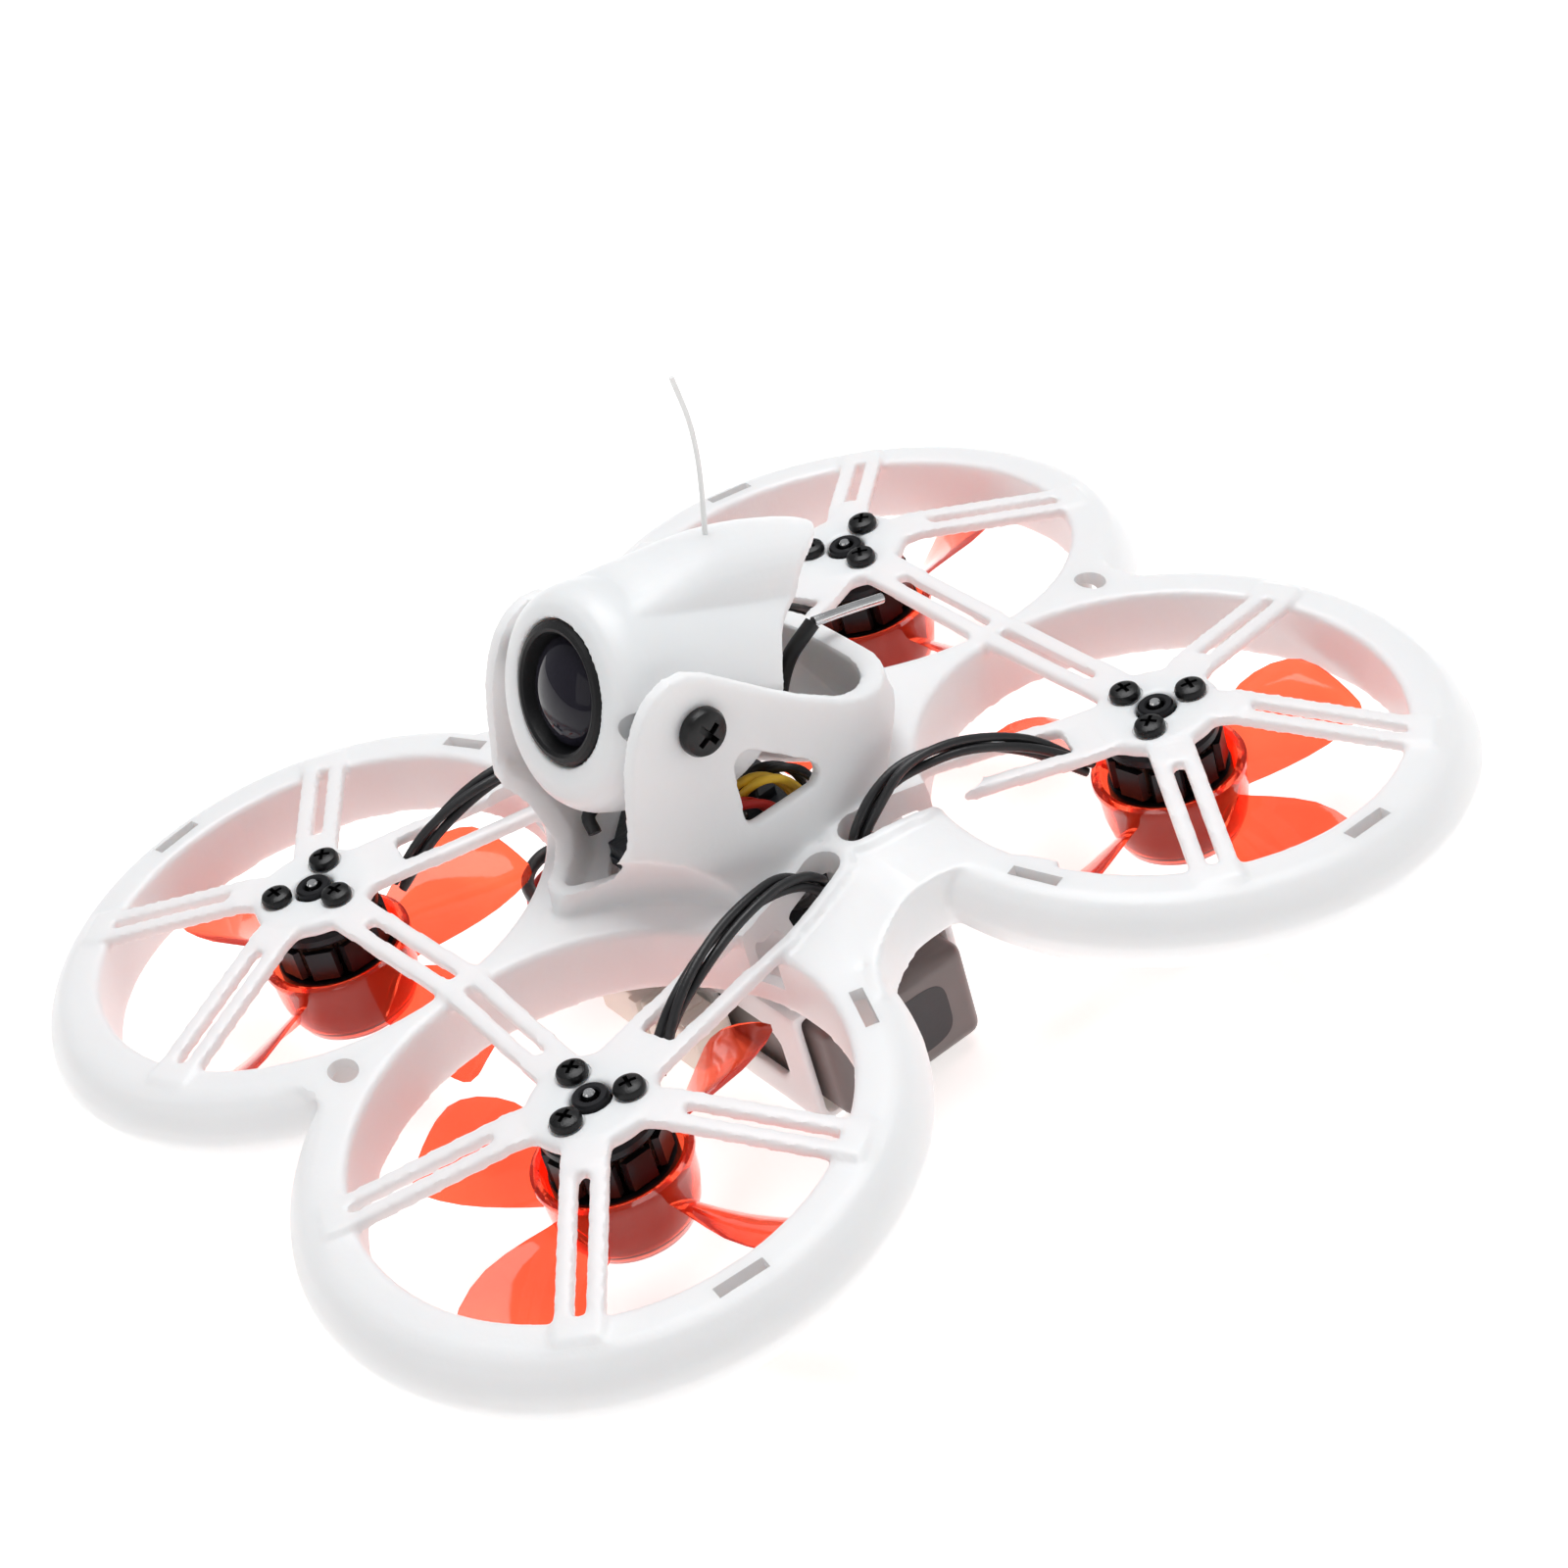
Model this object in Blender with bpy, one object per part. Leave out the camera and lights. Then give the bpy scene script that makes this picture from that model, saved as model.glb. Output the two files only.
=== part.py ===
"""Ducted micro racing drone: four guarded propellers, a tilting camera pod and a slide-in battery.

All dimensions are in millimetres with z = 0 at the top plane of the ducts; the helpers turn them
into metres and lift the drone so that the floor of its battery bay rests on the ground.
"""
import math

import bmesh
import bpy
from mathutils import Matrix, Vector

MM = 0.001
RING_Z = 20.2            # duct tops above the ground
GAP = 0.3                # clearance between neighbouring pieces

HUB_X, HUB_Y = 21.85, 30.48          # motor positions
CORNERS = {"front_left": (1, -1), "front_right": (-1, -1), "rear_left": (1, 1), "rear_right": (-1, 1)}
DROP_X = 0.051                       # how steeply the duct tops fall away sideways
DROP_Y = {-1: 0.045, 1: 0.109}       # ... towards the nose and towards the tail

DUCT_INNER = 20.8
DUCT_PROFILE = [(20.8, -6.5), (20.8, 0.0), (24.0, 0.0), (25.8, -1.3), (26.7, -3.4), (24.2, -7.5),
                (23.1, -7.3), (25.5, -3.5), (24.2, -1.0), (21.8, -1.0), (21.8, -6.5)]
DUCT_OUTER = [(24.0, 0.0), (25.8, -1.3), (26.7, -3.4), (24.2, -7.5)]
DUCT_SEGMENTS = 32
DUCT_SLOT = (4.5, 1.2)               # slots through the duct's top rim
SLOT_RADIUS = 22.9
SLOT_ANGLES = {-1: (-7.0, 69.0), 1: (5.0, -68.0)}
CUSP_Y = {-1: 44.2, 1: 44.6}         # outer edge of the web that joins two ducts
CUSP_HOLE = (3.4, 2.6, 41.3)         # oval hole in that web: width, depth, distance from the middle

HUB_R, HUB_TOP, HUB_THICK = 5.6, 2.1, 1.5
HUB_BORE = 1.8
SPOKE_HALF, SPOKE_SLOT = 2.05, 0.7   # half widths of a double spoke and of the slot in it
SPOKE_THICK = 1.2
SPOKES = {-1: (176, 104, 32, -40, -112), 1: (180, -112, -30, 40, 110)}
WIRE_SPOKE, WIRE_SPOKE_EXTRA = 1, 1.1   # which spoke the motor leads follow, and how much wider its slot is
SCREW_CIRCLE, SCREW_HEAD_R, SCREW_HEAD_H, SCREW_SHANK_R = 3.3, 1.35, 0.9, 0.5
SCREW_ANGLES = (170, 50, -70)

BLADES, TIP_R, CUP_R, CUP_TOP, CUP_BOTTOM = 4, 20.0, 6.7, -4.3, -12.5
BLADE_PHASE = {"front_left": 23, "front_right": 10, "rear_left": 2, "rear_right": 20}

TILT = 24.0                          # camera pitched up at rest, degrees
PIVOT = (0.0, -6.3, 18.5)
BARREL_R, BARREL_WALL, BARREL_SAG = 9.5, 1.2, -0.7
EAR_IN, EAR_OUT = 9.8, 11.2
POD_SWEEP = [(24.6, -8.0), (24.6, 3.0), (23.6, 5.0), (21.6, 7.6), (19.2, 10.0), (16.0, 12.4)]

BATTERY = (42.0, 15.0, 10.0)
BATTERY_C = (-1.0, -0.4, -14.2)
BAY_X, BAY_Y, BAY_Z, BAY_WALL = 17.0, (-8.5, 7.7), (-19.5, -8.9), 0.7


# ---------------------------------------------------------------- helpers
def material(name, colour, rough, metallic=0.0, alpha=1.0, transmission=0.0):
    """A plain Principled material."""
    mat = bpy.data.materials.new(name)
    mat.use_nodes = True
    shader = mat.node_tree.nodes["Principled BSDF"]
    shader.inputs["Base Color"].default_value = (*colour, 1.0)
    shader.inputs["Roughness"].default_value = rough
    shader.inputs["Metallic"].default_value = metallic
    shader.inputs["Alpha"].default_value = alpha
    shader.inputs["Transmission Weight"].default_value = transmission
    return mat


def finish(name, bm, mat, origin=(0, 0, 0), smooth=30):
    """Turn a bmesh in millimetres into a named object whose origin is at `origin`."""
    bmesh.ops.remove_doubles(bm, verts=bm.verts, dist=0.001)
    bmesh.ops.recalc_face_normals(bm, faces=bm.faces)
    base = Vector(origin)
    for vert in bm.verts:
        vert.co = (vert.co - base) * MM
    for face in bm.faces:
        face.smooth = smooth > 0
    for edge in bm.edges:
        flat = len(edge.link_faces) == 2 and edge.calc_face_angle(0.0) > math.radians(max(smooth, 1))
        edge.smooth = not flat
    mesh = bpy.data.meshes.new(name)
    bm.to_mesh(mesh)
    bm.free()
    mesh.materials.append(mat)
    obj = bpy.data.objects.new(name, mesh)
    obj.location = (base[0] * MM, base[1] * MM, (base[2] + RING_Z) * MM)
    bpy.context.scene.collection.objects.link(obj)
    return obj


def revolve(profile, segments, closed=True, axis="Z"):
    """Lathe a profile of (radius, height). An open profile must start and end on the axis."""
    bm = bmesh.new()
    rings = []
    for step in range(segments):
        turn = 2 * math.pi * step / segments
        ring = []
        for radius, height in profile:
            point = Vector((radius * math.cos(turn), radius * math.sin(turn), height))
            if axis == "Y":
                point = Vector((point.x, point.z, point.y))
            ring.append(bm.verts.new(point))
        rings.append(ring)
    count = len(profile)
    for step in range(segments):
        here, there = rings[step], rings[(step + 1) % segments]
        for i in range(count if closed else count - 1):
            j = (i + 1) % count
            bm.faces.new((here[i], there[i], there[j], here[j]))
    bmesh.ops.remove_doubles(bm, verts=bm.verts, dist=0.0005)
    bmesh.ops.dissolve_degenerate(bm, edges=bm.edges, dist=0.0005)
    bmesh.ops.recalc_face_normals(bm, faces=bm.faces)
    return bm


def prism(outline, low, high, axis="Z"):
    """A straight prism of a 2-D outline along X, Y or Z."""
    bm = bmesh.new()
    place = {"Z": lambda a, b, c: (a, b, c), "X": lambda a, b, c: (c, a, b), "Y": lambda a, b, c: (a, c, b)}[axis]
    bottom = [bm.verts.new(place(a, b, low)) for a, b in outline]
    top = [bm.verts.new(place(a, b, high)) for a, b in outline]
    bm.faces.new(bottom)
    bm.faces.new(top)
    count = len(outline)
    for i in range(count):
        j = (i + 1) % count
        bm.faces.new((bottom[i], bottom[j], top[j], top[i]))
    bmesh.ops.recalc_face_normals(bm, faces=bm.faces)
    return bm


def box(x0, x1, y0, y1, z0, z1):
    return prism([(x0, y0), (x1, y0), (x1, y1), (x0, y1)], z0, z1)


def rounded(x0, x1, y0, y1, radius, steps=4, rear=None):
    """Outline of a rectangle with round corners; rear is the radius of the corners at y1 if it differs."""
    rear = rear or radius
    points = []
    for cx, cy, size, start in ((x1 - rear, y1 - rear, rear, 0), (x0 + rear, y1 - rear, rear, 90),
                                (x0 + radius, y0 + radius, radius, 180), (x1 - radius, y0 + radius, radius, 270)):
        for k in range(steps + 1):
            turn = math.radians(start + 90 * k / steps)
            points.append((cx + size * math.cos(turn), cy + size * math.sin(turn)))
    return points


def loft(sections):
    """A closed solid through sections with equally many points."""
    bm = bmesh.new()
    rows = [[bm.verts.new(point) for point in section] for section in sections]
    bm.faces.new(rows[0])
    bm.faces.new(rows[-1])
    count = len(rows[0])
    for lower, upper in zip(rows, rows[1:]):
        for i in range(count):
            j = (i + 1) % count
            bm.faces.new((lower[i], lower[j], upper[j], upper[i]))
    bmesh.ops.recalc_face_normals(bm, faces=bm.faces)
    return bm


def smooth_path(points, per_span=4):
    """Points on a Catmull-Rom curve through `points`."""
    pts = [Vector(p) for p in points]
    pts = [2 * pts[0] - pts[1]] + pts + [2 * pts[-1] - pts[-2]]
    path = []
    for a, b, c, d in zip(pts, pts[1:], pts[2:], pts[3:]):
        for k in range(per_span):
            t = k / per_span
            path.append(0.5 * (2 * b + (c - a) * t + (2 * a - 5 * b + 4 * c - d) * t * t
                               + (3 * b - a - 3 * c + d) * t ** 3))
    return path + [pts[-2]]


def tube(path, radius):
    """A round cord along a path, with flat ends, as a bmesh."""
    curve = bpy.data.curves.new("cord_path", "CURVE")
    curve.dimensions = "3D"
    spline = curve.splines.new("POLY")
    spline.points.add(len(path) - 1)
    for point, place in zip(spline.points, path):
        point.co = (*place, 1.0)
    curve.bevel_depth = radius
    curve.bevel_resolution = 2
    curve.use_fill_caps = True
    holder = bpy.data.objects.new("cord_path", curve)
    bpy.context.scene.collection.objects.link(holder)
    mesh = bpy.data.meshes.new_from_object(holder.evaluated_get(bpy.context.evaluated_depsgraph_get()))
    bpy.data.objects.remove(holder)
    bm = bmesh.new()
    bm.from_mesh(mesh)
    bpy.data.meshes.remove(mesh)
    bmesh.ops.remove_doubles(bm, verts=bm.verts, dist=0.0005)
    bmesh.ops.recalc_face_normals(bm, faces=bm.faces)
    return bm


def combine(first, second, operation):
    """Boolean of two bmeshes; both are used up."""
    holders = []
    for bm in (first, second):
        mesh = bpy.data.meshes.new("piece")
        bm.to_mesh(mesh)
        bm.free()
        holder = bpy.data.objects.new("piece", mesh)
        bpy.context.scene.collection.objects.link(holder)
        holders.append(holder)
    holders[1].hide_render = True
    holders[1].display_type = "WIRE"
    step = holders[0].modifiers.new("combine", "BOOLEAN")
    step.solver = "EXACT"
    step.operation = operation
    step.object = holders[1]
    result = bpy.data.meshes.new_from_object(
        holders[0].evaluated_get(bpy.context.evaluated_depsgraph_get()))
    bm = bmesh.new()
    bm.from_mesh(result)
    for holder in holders:
        mesh = holder.data
        bpy.data.objects.remove(holder)
        bpy.data.meshes.remove(mesh)
    bpy.data.meshes.remove(result)
    bmesh.ops.remove_doubles(bm, verts=bm.verts, dist=0.002)
    bmesh.ops.dissolve_limit(bm, angle_limit=math.radians(0.4), verts=bm.verts, edges=bm.edges)
    return bm


def moved(bm, matrix):
    bmesh.ops.transform(bm, matrix=matrix, verts=bm.verts)
    return bm


def shift(x, y, z=0.0):
    return Matrix.Translation((x, y, z))


def turn_z(degrees):
    return Matrix.Rotation(math.radians(degrees), 4, "Z")


def corner_angle(corner, degrees):
    """An angle given for the left side, mirrored for the right side."""
    return degrees if CORNERS[corner][0] > 0 else 180 - degrees


def hub_place(corner):
    side, row = CORNERS[corner]
    return side * HUB_X, row * HUB_Y


def duct_top(corner, x, y):
    """Height of one duct's sloping top."""
    side, row = CORNERS[corner]
    hx, hy = hub_place(corner)
    return -DROP_X * side * (x - hx) - DROP_Y[row] * row * (y - hy)


def deck_top(x, y):
    """Height of the body's top skin: the duct tops carried on towards the middle."""
    blend = min(max((y + 8) / 16, 0.0), 1.0)
    blend = blend * blend * (3 - 2 * blend)
    slope = DROP_Y[-1] + (DROP_Y[1] - DROP_Y[-1]) * blend
    return -DROP_X * (abs(x) - HUB_X) - slope * (abs(y) - HUB_Y)


def slope_like(bm, height):
    """Lift every vertex by height(x, y)."""
    for vert in bm.verts:
        vert.co.z += height(vert.co.x, vert.co.y)
    return bm


# ---------------------------------------------------------------- moulded frame
def duct(corner, mat):
    """One prop guard: an upside-down channel ring with slots, and its half of the joining web."""
    side, row = CORNERS[corner]
    hx, hy = hub_place(corner)
    ring = moved(revolve(DUCT_PROFILE, DUCT_SEGMENTS), shift(hx, hy))
    web = prism([(0, row * 40.0), (side * 4.2, row * 42.2), (side * 9.5, row * 49.2), (side * 6.0, row * 47.4),
                 (side * 3.0, row * 45.4), (0, row * CUSP_Y[row])], -1.0, 0.0)
    keep_out = moved(revolve([(0, -3), (22.6, -3), (22.6, 3), (0, 3)], DUCT_SEGMENTS, closed=False), shift(hx, hy))
    web = combine(web, keep_out, "DIFFERENCE")
    ring = combine(ring, web, "UNION")
    wide, deep, middle = CUSP_HOLE
    hole = prism([(wide / 2 * math.cos(k * math.pi / 6), row * middle + deep / 2 * math.sin(k * math.pi / 6))
                  for k in range(12)], -3, 3)
    ring = combine(ring, hole, "DIFFERENCE")
    half = sorted((side * 0.15, side * 60))
    ring = combine(ring, box(half[0], half[1], -70, 70, -20, 20), "INTERSECT")
    for angle in SLOT_ANGLES[row]:
        length, width = DUCT_SLOT
        slot = moved(box(-width / 2, width / 2, -length / 2, length / 2, -2, 2), shift(SLOT_RADIUS, 0))
        ring = combine(ring, moved(slot, shift(hx, hy) @ turn_z(corner_angle(corner, angle))), "DIFFERENCE")
    slope_like(ring, lambda x, y: duct_top(corner, x, y))
    return finish("duct_" + corner, ring, mat, (hx, hy, 0))


def spoke(corner, angle, widen, reach):
    """A double spoke: two bars with a slot between, hooked down on to the duct at its outer end."""
    hx, hy = hub_place(corner)
    stations = (4.4, 18.0, 20.2, reach - 1.0, reach)
    across = (-SPOKE_HALF - widen, -SPOKE_SLOT - widen, SPOKE_SLOT + widen, SPOKE_HALF + widen)
    bm = bmesh.new()
    spin = turn_z(angle)
    tops, lows = [], []
    for radius in stations:
        row_top, row_low = [], []
        for offset in across:
            place = spin @ Vector((radius, offset, 0)) + Vector((hx, hy, 0))
            seat = duct_top(corner, place.x, place.y) + GAP + 0.05
            top = HUB_TOP - 0.4 if radius < 19 else seat + 0.85
            low = top - SPOKE_THICK if radius < 19 else seat
            row_top.append(bm.verts.new((place.x, place.y, top)))
            row_low.append(bm.verts.new((place.x, place.y, low)))
        tops.append(row_top)
        lows.append(row_low)
    cells = [(i, j) for i in range(len(stations) - 1) for j in (0, 2)] + [(len(stations) - 2, 1)]
    for i, j in cells:
        for rows in (tops, lows):
            bm.faces.new((rows[i][j], rows[i + 1][j], rows[i + 1][j + 1], rows[i][j + 1]))
        for a, b in (((i, j), (i + 1, j)), ((i + 1, j), (i + 1, j + 1)), ((i + 1, j + 1), (i, j + 1)),
                     ((i, j + 1), (i, j))):
            shared = sum(1 for c in cells if c != (i, j) and {a, b} <= {(c[0], c[1]), (c[0] + 1, c[1]),
                                                                       (c[0] + 1, c[1] + 1), (c[0], c[1] + 1)})
            if not shared:
                bm.faces.new((tops[a[0]][a[1]], tops[b[0]][b[1]], lows[b[0]][b[1]], lows[a[0]][a[1]]))
    bmesh.ops.delete(bm, geom=[v for v in bm.verts if not v.link_faces], context="VERTS")
    bmesh.ops.recalc_face_normals(bm, faces=bm.faces)
    return bm


def motor_mount(corner, mat):
    """The round motor plate and its five double spokes."""
    row = CORNERS[corner][1]
    hx, hy = hub_place(corner)
    low = HUB_TOP - HUB_THICK
    plate = moved(revolve([(HUB_BORE, low), (HUB_R, low), (HUB_R, HUB_TOP - 0.4), (HUB_R - 0.5, HUB_TOP),
                           (HUB_BORE, HUB_TOP)], 18), shift(hx, hy))
    for index, angle in enumerate(SPOKES[row]):
        widen = WIRE_SPOKE_EXTRA if index == WIRE_SPOKE else 0.0
        reach = 21.5 if index == 0 else 23.0
        plate = combine(plate, spoke(corner, corner_angle(corner, angle), widen, reach), "UNION")
    for angle in SCREW_ANGLES:
        turn = math.radians(corner_angle(corner, angle * -row))
        hole = revolve([(0, -1), (0.8, -1), (0.8, 4), (0, 4)], 6, closed=False)
        plate = combine(plate, moved(hole, shift(hx + SCREW_CIRCLE * math.cos(turn),
                                                 hy + SCREW_CIRCLE * math.sin(turn))), "DIFFERENCE")
    return finish("motor_mount_" + corner, plate, mat, (hx, hy, 0))


def skin(low, high):
    """A slab over the middle of the drone between two heights given as functions of x and y."""
    step_x, step_y = 8, 8
    bm = bmesh.new()
    xs = [-26 + 52 * i / step_x for i in range(step_x + 1)]
    ys = [-29 + 58 * j / step_y for j in range(step_y + 1)]
    tops = [[bm.verts.new((x, y, high(x, y))) for y in ys] for x in xs]
    lows = [[bm.verts.new((x, y, low(x, y))) for y in ys] for x in xs]
    for i in range(step_x):
        for j in range(step_y):
            for grid in (tops, lows):
                bm.faces.new((grid[i][j], grid[i + 1][j], grid[i + 1][j + 1], grid[i][j + 1]))
    for j in range(step_y):
        for i in (0, step_x):
            bm.faces.new((tops[i][j], tops[i][j + 1], lows[i][j + 1], lows[i][j]))
    for i in range(step_x):
        for j in (0, step_y):
            bm.faces.new((tops[i][j], tops[i + 1][j], lows[i + 1][j], lows[i][j]))
    bmesh.ops.triangulate(bm, faces=bm.faces)
    bmesh.ops.recalc_face_normals(bm, faces=bm.faces)
    return bm


def deck(mat):
    """The skin that joins the four ducts under the camera pod, with a slot for each motor's leads."""
    bm = skin(lambda x, y: deck_top(x, y) - 1.2, deck_top)
    for corner in CORNERS:
        hx, hy = hub_place(corner)
        around = [(0, 4)] + [(24.0 + GAP, 4)] + [(r + GAP, z) for r, z in DUCT_OUTER] + [(24.2, -9), (0, -9)]
        cutter = moved(revolve(around, DUCT_SEGMENTS, closed=False), shift(hx, hy))
        slope_like(cutter, lambda x, y, c=corner: duct_top(c, x, y))
        bm = combine(bm, cutter, "DIFFERENCE")
    for side in (-1, 1):
        notch = moved(revolve([(0, -4), (9.5, -4), (9.5, 8), (0, 8)], 32, closed=False), shift(side * 33.5, 2.0))
        bm = combine(bm, notch, "DIFFERENCE")
        for start, end in (((side * 17.8, -12.0), (side * 15.4, -1.4)), ((side * 16.4, 13.0), (side * 14.5, 3.4))):
            bm = combine(bm, capsule(start, end, 1.75, -6, 10), "DIFFERENCE")
    hole = prism(rounded(-10.2, 10.2, -17.0, 15.0, 3.0), -6, 12)
    bm = combine(bm, clear_of_ducts(hole, [(27.0, -8), (27.0, 14)]), "DIFFERENCE")
    return finish("deck", bm, mat)


def clear_of_ducts(bm, profile):
    """Cut a body back from all four ducts by a round profile of (radius, height)."""
    for corner in CORNERS:
        around = [(0, profile[0][1])] + profile + [(0, profile[-1][1])]
        bm = combine(bm, moved(revolve(around, DUCT_SEGMENTS, closed=False), shift(*hub_place(corner))), "DIFFERENCE")
    return bm


def capsule(start, end, radius, low, high):
    """A slot-shaped prism from one point to another."""
    a, b = Vector(start), Vector(end)
    heading = math.atan2(b.y - a.y, b.x - a.x)
    points = []
    for centre, base in ((b, -90), (a, 90)):
        for k in range(7):
            turn = heading + math.radians(base + 30 * k)
            points.append((centre.x + radius * math.cos(turn), centre.y + radius * math.sin(turn)))
    return prism(points, low, high)


def pod_section(half, front, back, radius, rear, height, wall=0.0, back_wall=0.0):
    """One level of the camera pod's skin; height is a number or a function of x and y."""
    outline = rounded(-(half - wall), half - wall, front + wall, back - (back_wall or wall),
                      max(radius - wall, 0.5), 3, rear - wall)
    return [(x, y, height(x, y) if callable(height) else height) for x, y in outline]


def camera_pod(mat):
    """The raised cradle round the camera: two ears, a low front lip and a rear lip."""
    levels = [(12.6, -19.0, 16.8, 4.0, 7.0), (12.3, -18.2, 16.2, 4.0, 7.2), (11.9, -17.0, 15.4, 3.5, 7.4),
              (11.5, -16.3, 15.0, 3.0, 7.6), (EAR_OUT, -16.0, 15.0, 2.2, 7.6), (EAR_OUT, -16.0, 15.0, 2.2, 7.6)]
    heights = [0.0, lambda x, y: deck_top(x, y) + 1.6, 6.2, 9.0, 12.0, 26.0]
    shell = loft([pod_section(*level, height) for level, height in zip(levels, heights)])
    shell = clear_of_ducts(shell, POD_SWEEP)
    wall = EAR_OUT - EAR_IN
    inside = [lambda x, y: -4.0] + heights[1:-1] + [30.0]
    hollow = loft([pod_section(*level, height, wall, 2.6) for level, height in zip(levels, inside)])
    hollow = clear_of_ducts(hollow, [(radius + wall, height) for radius, height in POD_SWEEP])
    shell = combine(shell, hollow, "DIFFERENCE")
    shell = combine(shell, skin(lambda x, y: -12.0, lambda x, y: deck_top(x, y) + GAP), "DIFFERENCE")
    side_view = [(-24, -3), (-24, 5), (-17.0, 8.0), (-15.2, 11.2), (-14.4, 14.4), (-13.3, 18.0), (-12.2, 20.3),
                 (-10.8, 22.3), (-9.1, 23.5), (-6.9, 23.7), (-4.3, 22.4), (-0.2, 19.0), (3.8, 15.2), (7.3, 12.6),
                 (11.2, 11.2), (14.8, 10.5), (20, 9.8), (20, -3)]
    shell = combine(shell, prism(side_view, -20, 20, "X"), "INTERSECT")
    mouth = [(-EAR_IN, 30), (-EAR_IN, 11.0), (-6.3, 6.9), (-3.0, 4.3), (3.0, 4.3), (6.3, 6.9), (EAR_IN, 11.0),
             (EAR_IN, 30)]
    shell = combine(shell, prism(mouth, -30, -8, "Y"), "DIFFERENCE")
    window = [(-3.5, 14.0), (-1.8, 13.6), (2.9, 9.2), (3.1, 7.9), (2.2, 7.2), (-4.0, 7.2), (-4.8, 8.2)]
    shell = combine(shell, prism(window, -20, 20, "X"), "DIFFERENCE")
    bore = moved(revolve([(0, -20), (1.2, -20), (1.2, 20), (0, 20)], 10, closed=False),
                 shift(*PIVOT) @ Matrix.Rotation(math.radians(90), 4, "Y"))
    shell = combine(shell, bore, "DIFFERENCE")
    return finish("camera_pod", shell, mat)


def battery_bay(mat):
    """The sleeve under the body that the battery slides into, with two struts up to the deck."""
    (y0, y1), (z0, z1) = BAY_Y, BAY_Z
    bm = box(-BAY_X, BAY_X, y0 - BAY_WALL, y1 + BAY_WALL, z0 - BAY_WALL, z1 + BAY_WALL)
    bm = combine(bm, box(-BAY_X - 1, BAY_X + 1, y0, y1, z0, z1), "DIFFERENCE")
    for side in (-1, 1):
        x0, x1 = sorted((side * 12.6, side * 16.2))
        bm = combine(bm, box(x0, x1, 0.1, 1.3, z1 + 0.2, 0.9), "UNION")
    for x in (-8.5, 8.5):
        bm = combine(bm, prism([(x + a, b) for a, b in rounded(-5.0, 5.0, -17.0, -11.5, 1.5, 3)],
                               y0 - 2, y1 + 2, "Y"), "DIFFERENCE")
        bm = combine(bm, prism([(x + a, b) for a, b in rounded(-5.0, 5.0, -5.0, 5.0, 1.5, 3)],
                               z0 - 2, z0 + 1), "DIFFERENCE")
    return finish("battery_bay", bm, mat)


# ---------------------------------------------------------------- motors and propellers
def stator(corner, mat):
    """The fixed half of a motor: base, winding core and the neck that shows in the mount."""
    hx, hy = hub_place(corner)
    neck = HUB_BORE - 0.25
    profile = [(0.8, -8.2), (4.4, -8.2), (4.4, -4.4), (5.1, -4.0), (5.1, -1.0), (4.6, -0.5), (4.6, 0.3), (neck, 0.3),
               (neck, 2.3), (0.8, 2.3)]
    return finish("motor_stator_" + corner, moved(revolve(profile, 16), shift(hx, hy)), mat, (hx, hy, 0))


def bell(corner, mat):
    """The turning half of a motor, inside the propeller's cup."""
    hx, hy = hub_place(corner)
    profile = [(0.8, -11.6), (4.6, -11.6), (5.45, -10.8), (5.45, -4.7), (4.75, -4.7), (4.75, -8.6), (0.8, -8.6)]
    return finish("motor_bell_" + corner, moved(revolve(profile, 18), shift(hx, hy)), mat, (hx, hy, 0))


def shaft(corner, mat):
    """The thin steel shaft, its end flush in the mount."""
    hx, hy = hub_place(corner)
    profile = [(0, -11.3), (0.5, -11.3), (0.5, 2.4), (0.35, 2.6), (0, 2.6)]
    return finish("motor_shaft_" + corner, moved(revolve(profile, 8, closed=False), shift(hx, hy)), mat,
                  (hx, hy, 0))


def blade(twist):
    """One twisted blade along +X; twist is +1 or -1."""
    sections = []
    for radius, chord, pitch, sweep in ((6.0, 4.6, 48, 0.0), (9.0, 7.2, 42, 0.4), (13.0, 9.0, 34, 0.6),
                                        (17.0, 8.8, 27, 0.2), (19.3, 6.6, 23, -0.4)):
        tilt = math.radians(pitch) * twist
        section = []
        for along, lift in ((-0.5, 0.0), (-0.15, 0.55), (0.2, 0.5), (0.5, 0.0), (0.2, -0.1), (-0.15, -0.05)):
            across, up = chord * along, lift + (0.25 if lift > 0 else -0.25 if abs(along) < 0.4 else 0.0)
            section.append((radius, sweep * twist + across * math.cos(tilt) - up * math.sin(tilt),
                            across * math.sin(tilt) + up * math.cos(tilt) - 8.2))
        sections.append(section)
    return loft(sections)


def propeller(corner, mat):
    """A four-bladed propeller whose cup hugs the motor bell from below."""
    hx, hy = hub_place(corner)
    side, row = CORNERS[corner]
    profile = [(0, CUP_BOTTOM), (4.4, CUP_BOTTOM), (5.9, -11.4), (6.5, -9.5), (CUP_R, CUP_TOP), (5.75, CUP_TOP),
               (5.75, -11.0), (4.8, -11.9), (0, -11.9)]
    bm = revolve(profile, 20, closed=False)
    for k in range(BLADES):
        bm = combine(bm, moved(blade(side * row), turn_z(BLADE_PHASE[corner] + 90 * k)), "UNION")
    return finish("propeller_" + corner, moved(bm, shift(hx, hy)), mat, (hx, hy, 0))


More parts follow.
